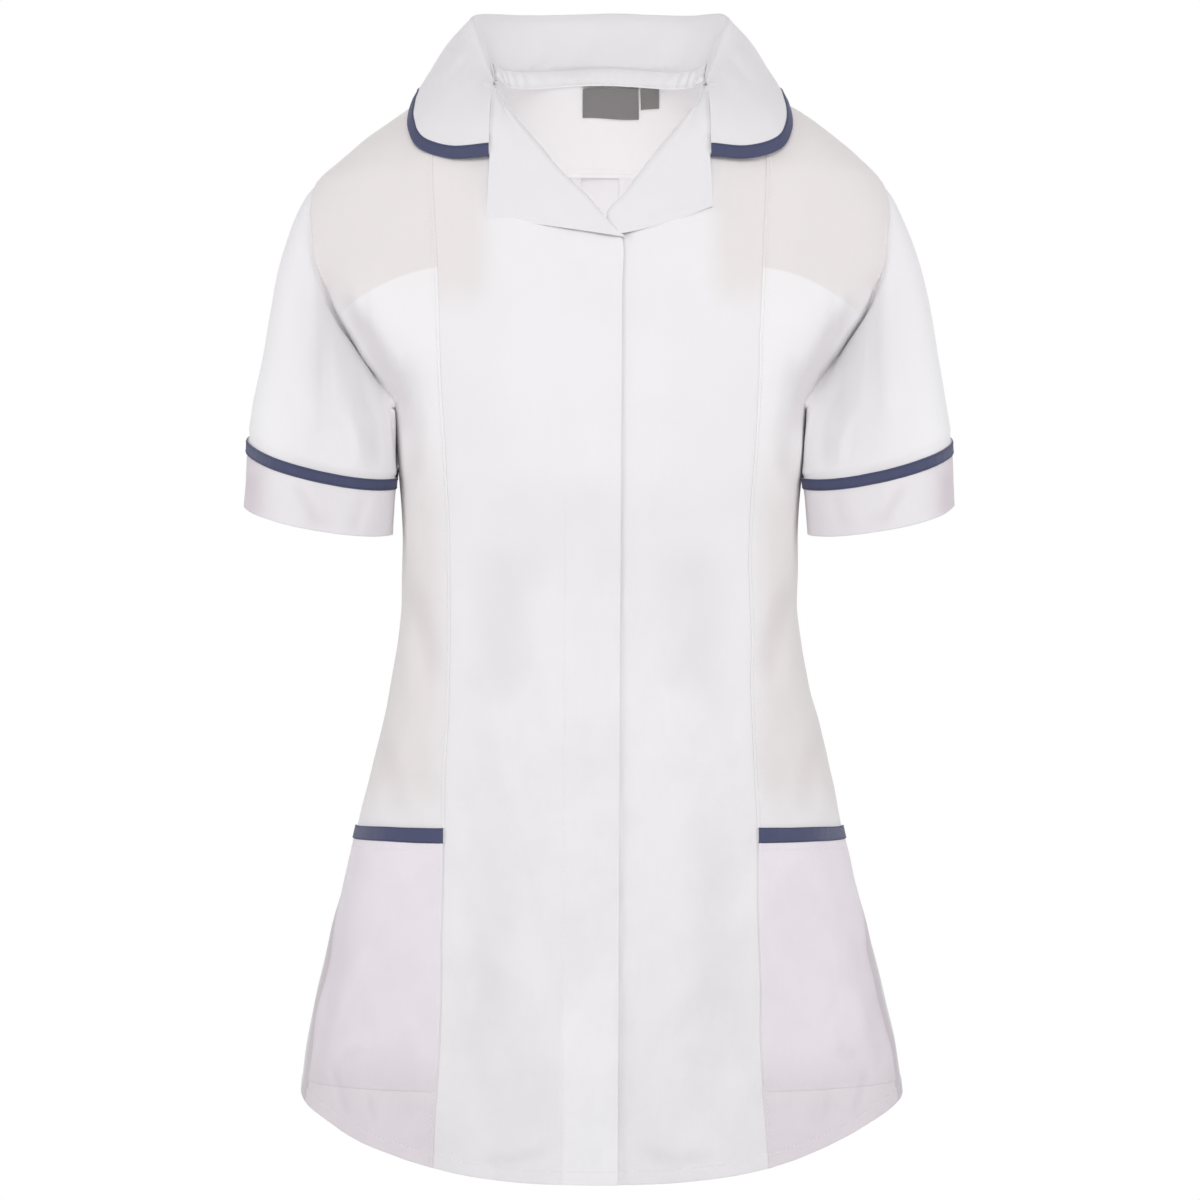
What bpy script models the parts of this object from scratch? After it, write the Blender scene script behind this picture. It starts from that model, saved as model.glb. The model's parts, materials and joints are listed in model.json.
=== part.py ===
"""Round collar tunic, filled out as it is worn. Metres, +Z up, the front faces -Y.

The origin is midway between the two side neck points, where the shoulders hold it.
The wearer's left is +X. Every piece of cloth is a closed wall laid on one body form.
A place on the form is an angle round the body (0 at the centre front, growing towards
+X) and a height. A "side" is +1 for the wearer's left and -1 for the right.
"""

import math

import bmesh
import bpy
from mathutils import Vector

for old in list(bpy.data.objects):
    bpy.data.objects.remove(old, do_unlink=True)

MM = 0.001
RIGHT, LEFT = -1, 1
UP = Vector((0, 0, 1))
SIDE_ANGLE = math.pi / 2

# ---------------------------------------------------------------- sizes
CLOTH = 1.2 * MM  # wall of a single piece
CUFF_CLOTH = 1.6 * MM  # turned-back cuff, two layers
TRIM_CLOTH = 0.9 * MM
TAG_CLOTH = 0.6 * MM
GAP = 0.3 * MM  # between pieces at a seam
TRIM_WIDTH = 9 * MM

HEM_FRONT = -721.3 * MM
HEM_RISE = 45.3 * MM  # how much higher the hem is at the side
HEM_POWER = 2.1
UNDERARM = -225 * MM
SHOULDER_TIP = -72 * MM
ARMHOLE_STEPS = 20  # stations round an armhole and a sleeve
ARMHOLE_WIDTH = math.radians(22.5)  # how far it reaches forward and back of the side
YOKE_STEPS = 3  # armhole stations that belong to the yoke

FRONT_EDGE = 14.3 * MM  # the right front's edge, past the centre, below the neck
EDGE_DRIFT = 3 * MM  # it comes this much nearer the centre on its way to the hem
UNDER_EDGE = 16 * MM  # the left front's edge, past the centre
UNDER_DEPTH = CLOTH + 1.5 * GAP
STEP_START = FRONT_EDGE + 2 * GAP
STEP_OUT = 12 * MM  # the left front comes up level over this width

YOKE_CENTRE = -55 * MM
YOKE_SIDE = -103.5 * MM

FULLNESS = 2.4  # 2 is an ellipse, more is squarer

# Heights and half sizes of the body form, in mm.
FORM = (
    # height, half_width, front, back
    (10, 48, 36, 50),
    (0, 68, 46, 60),
    (-18, 125, 61, 72),
    (-29, 144, 67, 79),
    (-55, 176, 80, 92),
    (-72, 189, 86, 97),
    (-100, 198, 94, 104),
    (-125, 199, 101, 107),
    (-150, 188, 109, 108),
    (-180, 165, 119, 107),
    (-225, 139.5, 127, 103),
    (-265, 135, 126, 97),
    (-310, 133, 115, 90),
    (-350, 133, 105, 86),
    (-400, 139, 101, 89),
    (-455, 151, 106, 99),
    (-510, 164.5, 113, 111),
    (-590, 184.5, 120, 122),
    (-670, 200, 126, 128),
    (-730, 204.5, 129, 131),
)

# How far the princess seam is from the centre, in mm.
PRINCESS = (
    # height, distance
    (-10, 108),
    (-62, 108.5),
    (-135, 105),
    (-222, 101.5),
    (-335, 96.5),
    (-500, 100.5),
    (-600, 101.6),
    (-730, 107.5),
)
PRINCESS_TOP = 108 * MM

# Angle of the side seam, in degrees: it swings forward over the hips.
SIDE_SEAM = (
    # height, angle
    (-225, 90),
    (-490, 88),
    (-540, 82),
    (-590, 75),
    (-730, 74),
)

# Rows of the body panels above the hem and up to the underarm, in mm.
LEVELS = (
    # at the princess seam, at the side seam
    (-664, -666),
    (-622, -624),
    (-580, -582),
    (-543, -545),
    (-506.7, -508.5),
    (-496.8, -500),
    (-455, -457),
    (-415, -416),
    (-370, -370),
    (-320, -320),
    (-270, -270),
    (-225, -225),
)
POCKET_FOOT, TRIM_FOOT, POCKET_MOUTH = 1, 5, 6  # rows of a side front; 0 is the hem
UPPER_ROWS = ARMHOLE_STEPS // 2

# Upper inner edge of each front, seen from the front, in mm.
# Distance is from the centre, towards the front's own side.
RIGHT_FRONT_TOP = (
    # distance, height
    (-14, -189),
    (-14.2, -152),
    (-14.3, -116),
    (-5, -104),
    (11.5, -90),
    (25.5, -76.5),
    (53.5, -42),
)
LEFT_FRONT_TOP = (
    # distance, height
    (-16, -189),
    (-16, -152),
    (-16, -118),
    (5, -104),
    (17.5, -90),
    (27.5, -76),
    (53.5, -42),
)

# The neck seam in plan, in mm.
NECK_HALF, NECK_BACK = 68, 60
NECK_FULLNESS = 2.3
NECK_FRONT = (
    # half_width, forward
    (68, 0),
    (68, 25),
    (67.5, 47),
)

# Reveres: where each row leaves the roll line and where it ends, in mm, seen from
# the front. Roll is the share of the full roll, lift the height of the free edge.
REVERE_ROLL = 4.2 * MM
REVERES = {
    RIGHT: (
        # roll_x, roll_z, edge_x, edge_z, roll, lift
        (-14.6, -115.8, 73.2, -103.4, 0.35, 1.3),
        (-5.5, -103.4, 72.6, -92, 0.7, 1.4),
        (11, -89.4, 72, -80, 1, 1.7),
        (25, -75.9, 71.2, -68, 1, 2.4),
        (38.8, -59, 70.2, -55, 1, 4.4),
        (53, -41.6, 69, -41, 1, 6.2),
        (62.2, -28, 67.6, -27, 0.8, 6),
    ),
    LEFT: (
        # roll_x, roll_z, edge_x, edge_z, roll, lift
        (18.9, -113.8, 72.4, -96.4, 0.5, 1.3),
        (10, -99.6, 72.2, -87, 0.7, 1.4),
        (18, -87.8, 71.8, -77, 0.9, 1.7),
        (27, -75.4, 71, -66, 1, 2.4),
        (39.8, -59, 70.2, -54, 1, 4.4),
        (53, -41.6, 69, -41, 1, 6.2),
        (62.2, -28, 67.6, -27, 0.8, 6),
    ),
}

# The collar in front of the side neck point: a row for each station, in mm.
# Along is its place from the side neck point to the collar's front end.
COLLAR_FRONT = (
    # along, edge_x, edge_y, roll_radius, bulge
    (0, 123, 0, 3, 4),
    (0.25, 125, -27, 3, 4),
    (0.5, 125, -53, 2.6, 5.5),
    (0.7, 114.5, -67, 2.2, 8),
    (0.85, 95, -76, 1.8, 8.5),
    (1, 71.6, -79.6, 1.4, 9),
)
COLLAR_BACK_STEPS = 6
COLLAR_FOLD_BACK = (75, 52)  # how far back, how high
COLLAR_FOLD_SIDE = (84, 42)  # half width, height
COLLAR_FOLD_END = (67.5, -48.5, -8.5)
COLLAR_EDGE = (123, 82)  # half width and back of the free edge
COLLAR_BACK_BULGE = 4
COLLAR_CLEAR = 3.1 * MM  # free edge above the shoulders, to the middle of its wall
STRIP_HEIGHT = 11 * MM
STRIP_CLOTH = 0.8 * MM

# Sleeve end and cuff rings: centre and half axes, in mm, on the +X side.
RING = {
    # name: (centre, towards the outside, towards the front)
    "sleeve_end": ((186.8, 4, -254), (48.6, 0, 11), (0, -56, -8.5)),
    "cuff_end": ((190.6, 5, -295), (48, 0, 9.5), (0, -57, -9)),
}
SLEEVE_ROWS = (0, 0.1, 0.27, 0.46, 0.66, 0.84, 1)
SLEEVE_FULL_OUT = 8.5 * MM
SLEEVE_FULL_FRONT = 3 * MM
SLEEVE_HIGH = 0.62  # below 1 the sleeve is fullest nearer the shoulder
CUFF_STEP = 0.8 * MM  # the cuff stands this proud of the sleeve

# Box pleat down the centre back, as a path across it in mm.
PLEAT = (
    # across, out (the middle of the wall)
    (24, -0.6),
    (8.6, -0.6),
    (7.4, 0.15),
    (8.6, 0.9),
    (15.4, 0.9),
    (16.6, 1.65),
    (15.4, 2.4),
    (0, 2.4),
)

# Tags under the neck strip, in mm, on the inside of the yoke.
TAG_SINK = 1.3 * MM  # the tags hang this much clear of the yoke's curve
TAGS = {
    # name: (left, right, top, bottom)
    "neck_label": (-12, 27, -0.4, -17.6),
    "size_tab": (28.5, 41, -0.4, -12.2),
}

COLOURS = {
    "white_cloth": (0.86, 0.85, 0.86),
    "pocket_cloth": (0.8, 0.77, 0.81),
    "blue_trim": (0.105, 0.13, 0.24),
    "grey_tag": (0.26, 0.25, 0.25),
}


# ---------------------------------------------------------------- the body form
def slopes(points):
    """Slopes of a smooth curve through points that never overshoots them."""
    steps = [(b[1] - a[1]) / (b[0] - a[0]) for a, b in zip(points, points[1:])]
    inner = [
        0 if p * q <= 0 else 2 * p * q / (p + q) for p, q in zip(steps, steps[1:])
    ]
    return [steps[0], *inner, steps[-1]]


def curve_through(points):
    """A smooth function through (place, value) points."""
    points = sorted(points)
    slope = slopes(points)

    def value(place):
        i = 0
        while i < len(points) - 2 and place > points[i + 1][0]:
            i += 1
        (x0, y0), (x1, y1) = points[i], points[i + 1]
        width = x1 - x0
        t = (place - x0) / width
        a, b = slope[i] * width, slope[i + 1] * width
        if t < 0:
            return y0 + slope[i] * (place - x0)
        if t > 1:
            return y1 + slope[i + 1] * (place - x1)
        return (
            y0 * (1 + 2 * t) * (1 - t) ** 2
            + a * t * (1 - t) ** 2
            + y1 * t * t * (3 - 2 * t)
            + b * t * t * (t - 1)
        )

    return value


def column(table, k, unit=MM):
    """One column of a table by height, as a smooth function in metres or degrees."""
    return curve_through([(row[0] * MM, row[k] * unit) for row in table])


half_width, front_depth, back_depth = (column(FORM, k) for k in (1, 2, 3))
princess_distance = column(PRINCESS, 1)
side_seam_degrees = column(SIDE_SEAM, 1, 1)


def power(value, exponent):
    return math.copysign(abs(value) ** exponent, value)


def on_form(angle, height):
    """The point of the body form at an angle and a height."""
    s, c = math.sin(angle), math.cos(angle)
    depth = front_depth(height) if c > 0 else back_depth(height)
    return Vector(
        (
            half_width(height) * power(s, 2 / FULLNESS),
            -depth * power(c, 2 / FULLNESS),
            height,
        )
    )


def normal(angle, height):
    """Straight out of the cloth."""
    turn, rise = 2e-3, 2e-4
    across = on_form(angle + turn, height) - on_form(angle - turn, height)
    along = on_form(angle, height + rise) - on_form(angle, height - rise)
    return across.cross(along).normalized()


def place(spot, out=0.0):
    """A point that lies out from the form at a spot (angle, height)."""
    return on_form(*spot) + normal(*spot) * out


def front_spot(x, height):
    """The spot that is x from the centre when the front is looked at."""
    share = min(1, abs(x) / half_width(height))
    return (math.copysign(math.asin(share ** (FULLNESS / 2)), x), height)


def back_spot(x, height):
    angle, _ = front_spot(x, height)
    return (math.pi - angle, height)


def dropped_height(x, y):
    """The height at which the form is met from above at x, y."""
    low, high = -0.2, 0.02
    for _ in range(40):
        z = (low + high) / 2
        depth = front_depth(z) if y < 0 else back_depth(z)
        inside = abs(x / half_width(z)) ** FULLNESS + abs(y / depth) ** FULLNESS < 1
        low, high = (z, high) if inside else (low, z)
    return (low + high) / 2


def shoulder_height(x):
    """Height of the shoulder seam at x."""
    low, high = SHOULDER_TIP, 0.0
    for _ in range(40):
        z = (low + high) / 2
        low, high = (z, high) if half_width(z) > x else (low, z)
    return (low + high) / 2


def hem_height(angle):
    return HEM_FRONT + HEM_RISE * abs(math.sin(angle)) ** HEM_POWER


def armhole_spot(step):
    """A station of the armhole: 0 is the shoulder tip, then forward and round."""
    turn = 2 * math.pi * step / ARMHOLE_STEPS
    middle, half = (SHOULDER_TIP + UNDERARM) / 2, (SHOULDER_TIP - UNDERARM) / 2
    return (
        SIDE_ANGLE - ARMHOLE_WIDTH * math.sin(turn),
        middle + half * math.cos(turn),
    )


def side_seam_spot(height):
    return (math.radians(side_seam_degrees(height)), height)


def mix(a, b, t):
    return a + (b - a) * t


def between(spot_a, spot_b, t):
    return (mix(spot_a[0], spot_b[0], t), mix(spot_a[1], spot_b[1], t))


def princess_spots():
    """The princess seam above the underarm, evenly spaced up to the shoulder seam."""
    top = shoulder_height(PRINCESS_TOP)
    fine = [
        front_spot(princess_distance(z), z)
        for z in (mix(top, UNDERARM, (i / 300) ** 2) for i in range(301))
    ]
    fine[0] = (SIDE_ANGLE, top)
    fine.reverse()
    lengths = [0.0]
    for a, b in zip(fine, fine[1:]):
        lengths.append(lengths[-1] + (on_form(*b) - on_form(*a)).length)
    spots = []
    for k in range(UPPER_ROWS + 1):
        wanted = lengths[-1] * k / UPPER_ROWS
        i = min(range(len(lengths)), key=lambda n: abs(lengths[n] - wanted))
        spots.append(fine[i])
    return spots


def neck_plan(turn):
    """The neck seam in plan behind the shoulders: 0 at the side, pi/2 at the back."""
    x = NECK_HALF * power(math.cos(turn), 2 / NECK_FULLNESS)
    y = NECK_BACK * power(math.sin(turn), 2 / NECK_FULLNESS)
    return x * MM, y * MM


def neck_front_spot(k):
    x, forward = (n * MM for n in NECK_FRONT[k])
    if k == 0:
        return (SIDE_ANGLE, 0.0)
    return front_spot(x, dropped_height(x, -forward))


# ---------------------------------------------------------------- making solids
def material(name):
    found = bpy.data.materials.get(name)
    if found:
        return found
    made = bpy.data.materials.new(name)
    made.use_nodes = True
    shader = made.node_tree.nodes["Principled BSDF"]
    shader.inputs["Base Color"].default_value = (*COLOURS[name], 1)
    shader.inputs["Roughness"].default_value = 0.85
    shader.inputs["Metallic"].default_value = 0
    return made


def solid(name, outer, inner, finish, ring=False):
    """A closed wall between two matching grids of points; a ring closes round."""
    rows, columns = len(outer), len(outer[0])
    bm = bmesh.new()
    faces = [[[bm.verts.new(p) for p in row] for row in grid] for grid in (outer, inner)]
    spans = columns if ring else columns - 1
    for side in faces:
        for i in range(rows - 1):
            for j in range(spans):
                n = (j + 1) % columns
                bm.faces.new((side[i][j], side[i][n], side[i + 1][n], side[i + 1][j]))
    rims = [[(i, j) for j in range(columns)] for i in (0, rows - 1)]
    if not ring:
        rims += [[(i, j) for i in range(rows)] for j in (0, columns - 1)]
    for rim in rims:
        steps = list(zip(rim, rim[1:]))
        if ring:
            steps.append((rim[-1], rim[0]))
        for (i, j), (k, n) in steps:
            top, under = faces
            bm.faces.new((top[i][j], top[k][n], under[k][n], under[i][j]))
    bmesh.ops.recalc_face_normals(bm, faces=bm.faces)
    mesh = bpy.data.meshes.new(name)
    bm.to_mesh(mesh)
    bm.free()
    made = bpy.data.objects.new(name, mesh)
    bpy.context.scene.collection.objects.link(made)
    made.data.materials.append(material(finish))
    made.data.shade_smooth()
    made.data.set_sharp_from_angle(angle=math.radians(35))
    return made


def mirrored(grid, side):
    """The grid as it is for the wearer's left, or turned over for the right."""
    return [[Vector((p.x * side, p.y, p.z)) for p in row] for row in grid]


def laid(spots, out):
    """Points out from the form; out is a number or a grid of them."""
    return [
        [place(s, out if isinstance(out, float) else out[i][j]) for j, s in enumerate(row)]
        for i, row in enumerate(spots)
    ]


def nudge(grid, first=None, last=None, bottom=None, top=None):
    """Moves the edge columns and rows of a grid by half a seam's gap."""
    for row in grid:
        if first:
            row[0] += Vector(first)
        if last:
            row[-1] += Vector(last)
    for edge, shift in ((grid[0], bottom), (grid[-1], top)):
        if shift:
            for p in edge:
                p += Vector(shift)
    return grid


def thick(grid, half, ring=False):
    """The two faces of a wall whose middle is the grid."""
    rows, columns = len(grid), len(grid[0])
    outer, inner = [], []
    for i in range(rows):
        outer.append([])
        inner.append([])
        for j in range(columns):
            up = grid[min(i + 1, rows - 1)][j] - grid[max(i - 1, 0)][j]
            if ring:
                across = grid[i][(j + 1) % columns] - grid[i][j - 1]
            else:
                across = grid[i][min(j + 1, columns - 1)] - grid[i][max(j - 1, 0)]
            out = across.cross(up).normalized() * half
            outer[-1].append(grid[i][j] + out)
            inner[-1].append(grid[i][j] - out)
    return outer, inner


HALF_GAP = GAP / 2


# ---------------------------------------------------------------- body panels
PRINCESS_END, SIDE_END = 0, 1


def levels(end):
    """Heights of the panel rows from the hem to the underarm, at one end of them."""
    return [HEM_FRONT, *(row[end] * MM for row in LEVELS)]


def row_of(left_spot, right_spot, shares):
    return [between(left_spot, right_spot, t) for t in shares]


def even(count):
    return [j / count for j in range(count + 1)]


def over_edge(height):
    """The right front's edge below the neck, seen from the front."""
    start = RIGHT_FRONT_TOP[2][1] * MM
    return mix(-FRONT_EDGE, EDGE_DRIFT - FRONT_EDGE, (height - start) / (HEM_FRONT - start))


def under_edge(height):
    return -UNDER_EDGE


def front_panel(name, side, edge, top_points, under):
    """A centre front, from its free edge to the princess seam."""
    rows, outs = [], []

    def shares(inner, outer):
        if not under:
            return (0, 0.275, 0.5, 0.75, 1)
        reach = outer - inner
        first = max(0.1, (STEP_START - inner) / reach)
        second = max(0.25, (STEP_START + STEP_OUT - inner) / reach)
        return (0, first, *(mix(second, 1, t) for t in even(3)))

    def sunk(x):
        share = (x - STEP_START) / STEP_OUT
        return UNDER_DEPTH * (1 - min(1, max(0, share))) if under else 0.0

    def add(inner, outer, on_hem=False):
        row = []
        for t in shares(inner[0], outer[0]):
            spot = front_spot(mix(inner[0], outer[0], t), mix(inner[1], outer[1], t))
            row.append((spot[0], hem_height(spot[0])) if on_hem else spot)
        rows.append(row)
        outs.append([-sunk(on_form(*spot).x) for spot in row])

    for z in levels(PRINCESS_END):
        add((edge(z), z), (princess_distance(z), z), z == HEM_FRONT)
    seam = princess_spots()
    inner = [(x * MM, z * MM) for x, z in top_points]
    inner += [(on_form(*neck_front_spot(k)).x, neck_front_spot(k)[1]) for k in (2, 1)]
    for start, spot in zip(inner, seam[1:]):
        add(start, (on_form(*spot).x, spot[1]))
    neck = neck_front_spot(0)
    row = [between(neck, seam[-1], t) for t in shares(NECK_HALF * MM, PRINCESS_TOP)]
    rows.append(row)
    outs.append([0.0] * len(row))
    grids = []
    for depth in (0, CLOTH):
        points = laid(rows, [[out - depth for out in row] for row in outs])
        grids.append(
            mirrored(
                nudge(points, last=(-HALF_GAP, 0, 0), top=(0, -HALF_GAP, 0)), side
            )
        )
    return solid(name, *grids, "white_cloth")


SIDE_SHARES = even(5)


def side_front_rows():
    """Spots of a side front, from the princess seam to the side seam and armhole."""
    rows = []
    for z, side_z in zip(levels(PRINCESS_END), levels(SIDE_END)):
        start = front_spot(princess_distance(z), z)
        row = row_of(start, side_seam_spot(side_z), SIDE_SHARES)
        if z == HEM_FRONT:
            row = [(angle, hem_height(angle)) for angle, _ in row]
        rows.append(row)
    seam = princess_spots()
    for k in range(1, UPPER_ROWS + 1):
        rows.append(row_of(seam[k], armhole_spot(UPPER_ROWS - k), SIDE_SHARES))
    return rows


def side_front(name, side):
    rows = side_front_rows()
    grids = []
    for depth in (0.0, CLOTH):
        points = nudge(
            laid(rows, -depth), first=(HALF_GAP, 0, 0), top=(0, -HALF_GAP, 0)
        )
        for row in points[: len(levels(SIDE_END))]:
            row[-1].y -= HALF_GAP
        grids.append(mirrored(points, side))
    return solid(name, *grids, "white_cloth")


def pocket(name, side, low, high, finish, bottom, top):
    """A piece on the side front between two of its rows; bottom and top are how
    far out its two faces lie."""
    rows = side_front_rows()[low : high + 1]
    grids = [
        mirrored(
            nudge(laid(rows, out), first=(2 * GAP, 0, 0), last=(0, -2 * GAP, 0)), side
        )
        for out in (top, bottom)
    ]
    return solid(name, *grids, finish)


def yoke_seam_height(angle):
    """The yoke seam: level at the centre back, lower towards the armholes."""
    end = math.pi - armhole_spot(-YOKE_STEPS)[0]
    share = min(1, abs(math.pi - angle) / end)
    return mix(YOKE_CENTRE, YOKE_SIDE, share**2)


def yoke():
    """One piece over both shoulders; columns run from the yoke seam to the top edge."""
    top = shoulder_height(PRINCESS_TOP)
    seam = [(SIDE_ANGLE, mix(top, SHOULDER_TIP, t)) for t in reversed(SIDE_SHARES)]
    seam += [(SIDE_ANGLE, mix(0, top, t)) for t in (0.75, 0.5, 0.25, 0)]
    for k in range(1, COLLAR_BACK_STEPS + 1):
        x, y = neck_plan(SIDE_ANGLE * k / COLLAR_BACK_STEPS)
        seam.append(back_spot(x, dropped_height(x, y)))
    half = []
    for k, spot in enumerate(seam):
        if k == 0:
            half.append([armhole_spot(-n) for n in range(YOKE_STEPS, -1, -1)])
            continue
        x = on_form(*spot).x
        foot = back_spot(x, YOKE_SIDE)
        for _ in range(12):
            foot = back_spot(x, yoke_seam_height(foot[0]))
        half.append([between(foot, spot, n / YOKE_STEPS) for n in range(YOKE_STEPS + 1)])
    grids = []
    for depth in (0.0, CLOTH):
        columns = [[place(s, -depth) for s in line] for line in half]
        for line in columns:
            line[0] += Vector((0, 0, HALF_GAP + GAP))
        for line in columns[: len(SIDE_SHARES) + 4]:
            line[-1] += Vector((0, HALF_GAP, 0))
        other = [[Vector((-p.x, p.y, p.z)) for p in line] for line in columns[-2::-1]]
        grids.append([list(row) for row in zip(*(columns + other))])
    return solid("back_yoke", *grids, "white_cloth")


def pleat_faces():
    """Both faces of the pleat's wall, as (across, out) pairs in metres."""
    half = CLOTH / 2
    points = [Vector((x * MM, out * MM)) for x, out in PLEAT]
    faces = []
    for k, p in enumerate(points):
        before, after = points[max(k - 1, 0)], points[min(k + 1, len(points) - 1)]
        go = (p - before).normalized() + (after - p).normalized()
        go.normalize()
        side = Vector((go.y, -go.x)) * half
        faces.append((p + side, p - side))
    return faces


def back_panel():
    """The back below the yoke, with a box pleat down its centre."""
    main = 5
    faces = pleat_faces()
    edge = faces[0][0].x
    rows = []
    for z in levels(SIDE_END):
        rows.append((side_seam_spot(z), z, 0))
    for step in range(UPPER_ROWS + 1, ARMHOLE_STEPS - YOKE_STEPS + 1):
        spot = armhole_spot(step)
        rows.append((spot, spot[1], (spot[1] - UNDERARM) / (YOKE_SIDE - UNDERARM)))
    grids = [[], []]
    for end, z, share in rows:

        def level(angle):
            if z == HEM_FRONT:
                return hem_height(angle)
            return mix(z, UNDERARM + (yoke_seam_height(angle) - UNDERARM) * share, share)

        for face in (0, 1):
            line = []
            inner_angle = back_spot(edge, z)[0]
            for j in range(main):
                angle = mix(end[0], inner_angle, j / main)
                height = end[1] if j == 0 and share else level(angle)
                line.append(place((angle, height), -CLOTH * face))
            for pair in faces:
                across, out = pair[face]
                angle = back_spot(across, level(math.pi))[0]
                line.append(place((angle, level(angle)), out))
            if not share:
                line[0].y += HALF_GAP
            other = [Vector((-p.x, p.y, p.z)) for p in line[-2::-1]]
            grids[face].append(line + other)
    for grid in grids:
        nudge(grid, top=(0, 0, -HALF_GAP))
    return solid("back", *grids, "white_cloth")


# ---------------------------------------------------------------- reveres
def revere(name, side):
    """The turned-out top of a front: it rolls over the front's edge and lies on it."""
    grid = []
    for roll_x, roll_z, edge_x, edge_z, roll, lift in REVERES[side]:
        start, end = Vector((roll_x, roll_z)) * MM, Vector((edge_x, edge_z)) * MM
        width = (end - start).length
        go = (end - start) / width
        high = REVERE_ROLL * roll
        low = -0.6 * roll * MM
        profile = (
            (-1.3 * MM, low),
            (-1.3 * MM - 0.28 * high, 0.3 * high),
            (-0.25 * high, 0.85 * high),
            (0.06 * width, 1.05 * high + 0.2 * lift * MM),
            (0.3 * width, mix(high, lift * MM, 0.35) + 0.3 * MM),
            (0.65 * width, mix(high, lift * MM, 0.8)),
            (width, lift * MM),
        )
        row = []
        for across, out in profile:
            x, z = start + go * across
            row.append(place(front_spot(x, z), out))
        grid.append(row)
    outer, inner = thick(grid, CLOTH / 2)
    return solid(name, mirrored(outer, side), mirrored(inner, side), "white_cloth")


# ---------------------------------------------------------------- collar
def collar_stations():
    """For each station from the centre back to the front end of the +X side: the
    seam point, the top of the fold, the free edge, the roll radius and the bulge."""
    found = []
    fold_back, fold_side = COLLAR_FOLD_BACK, COLLAR_FOLD_SIDE
    for k in range(COLLAR_BACK_STEPS, 0, -1):
        turn = SIDE_ANGLE * k / COLLAR_BACK_STEPS
        c = power(math.cos(turn), 2 / NECK_FULLNESS)
        s = power(math.sin(turn), 2 / NECK_FULLNESS)
        x, y = neck_plan(turn)
        seam = Vector((x, y, dropped_height(x, y)))
        fold = Vector((fold_side[0] * c, fold_back[0] * s, mix(*(fold_side[1], fold_back[1]), s)))
        x, y = COLLAR_EDGE[0] * c * MM, COLLAR_EDGE[1] * s * MM
        edge = back_spot(x, dropped_height(x, y))
        found.append((seam, fold * MM, edge, 3 * MM, COLLAR_BACK_BULGE * MM))
    side_fold = Vector((fold_side[0], 0, fold_side[1]))
    for along, edge_x, edge_y, radius, bulge in COLLAR_FRONT:
        x = mix(NECK_FRONT[0][0], NECK_FRONT[-1][0], along**2) * MM
        y = -mix(0, NECK_FRONT[-1][1], along) * MM
        seam = Vector((x, y, dropped_height(x, y)))
        fold = side_fold.lerp(Vector(COLLAR_FOLD_END), along) * MM
        x, y = edge_x * MM, edge_y * MM
        spot = front_spot(x, dropped_height(x, y - 1e-6))
        found.append((seam, fold, spot, radius * MM, bulge * MM))
    return found


FALL_SHARES = (0.2, 0.43, 0.66)


def collar_line(seam, fold, edge_spot, radius, bulge):
    """One station's path, from the neck seam over the fold to the free edge."""
    level = normal(*front_or_back(seam)) * CLOTH / 2
    base = seam - Vector((level.x, level.y, 0)) + UP * 2 * GAP
    edge = place(edge_spot, COLLAR_CLEAR)
    out = Vector((edge.x - base.x, edge.y - base.y, 0)).normalized()
    centre = fold - UP * radius
    rise = (centre - base).length
    strip = base.lerp(centre - out * radius, min(0.6, STRIP_HEIGHT / rise))
    path = [base, strip, centre - out * radius, fold, centre + out * radius]
    start = path[-1]
    chord = edge - start
    lift = (UP - chord * (UP.dot(chord) / chord.length_squared)).normalized()
    handle = (start + edge) / 2 + lift * 2 * bulge
    last = 1 - TRIM_WIDTH / (chord.length + bulge)
    for t in (*FALL_SHARES, last, 1):
        path.append(start * (1 - t) ** 2 + handle * 2 * t * (1 - t) + edge * t * t)
    return path


def front_or_back(point):
    spot = front_spot if point.y < 0 else back_spot
    return spot(point.x, point.z)


def collar_grid():
    half = [collar_line(*station) for station in collar_stations()]
    other = [[Vector((-p.x, p.y, p.z)) for p in line] for line in half[:0:-1]]
    return [list(row) for row in zip(*(other + half))]


def collar_pieces():
    """The collar, the binding on its free edge and the strip inside its stand."""
    outer, inner = thick(collar_grid(), -CLOTH / 2)
    solid("collar", outer, inner, "white_cloth")
    out = CLOTH / 2 + GAP
    under, _ = thick(collar_grid(), -out)
    over, _ = thick(collar_grid(), -out - TRIM_CLOTH)
    solid("collar_trim", over[-2:], under[-2:], "blue_trim")
    over, _ = thick(collar_grid(), -out - STRIP_CLOTH)
    keep = slice(2, -2)
    solid("neck_strip", [r[keep] for r in over[:2]], [r[keep] for r in under[:2]], "white_cloth")


# ---------------------------------------------------------------- sleeves
def ring_point(name, turn, out=0.0):
    centre, outwards, forwards = (Vector(v) * MM for v in RING[name])
    c, s = math.cos(turn), math.sin(turn)
    return centre + outwards * c + forwards * s + Vector((c, -s, 0)) * out


def sleeve_grid():
    """Rows run from the armhole to the sleeve's end, columns round from the top."""
    grid = []
    for t in SLEEVE_ROWS:
        row = []
        for step in range(ARMHOLE_STEPS):
            turn = 2 * math.pi * step / ARMHOLE_STEPS
            spot = armhole_spot(step)
            into_hole = Vector((0, math.sin(turn), -math.cos(turn)))
            start = place(spot, 0.2 * MM) + into_hole * GAP
            end = ring_point("sleeve_end", turn)
            full = SLEEVE_FULL_OUT * max(0, math.cos(turn))
            full += SLEEVE_FULL_FRONT * abs(math.sin(turn))
            swell = Vector((math.cos(turn), -math.sin(turn), 0)) * full
            row.append(start.lerp(end, t) + swell * math.sin(math.pi * t**SLEEVE_HIGH))
        grid.append(row)
    return grid


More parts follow.
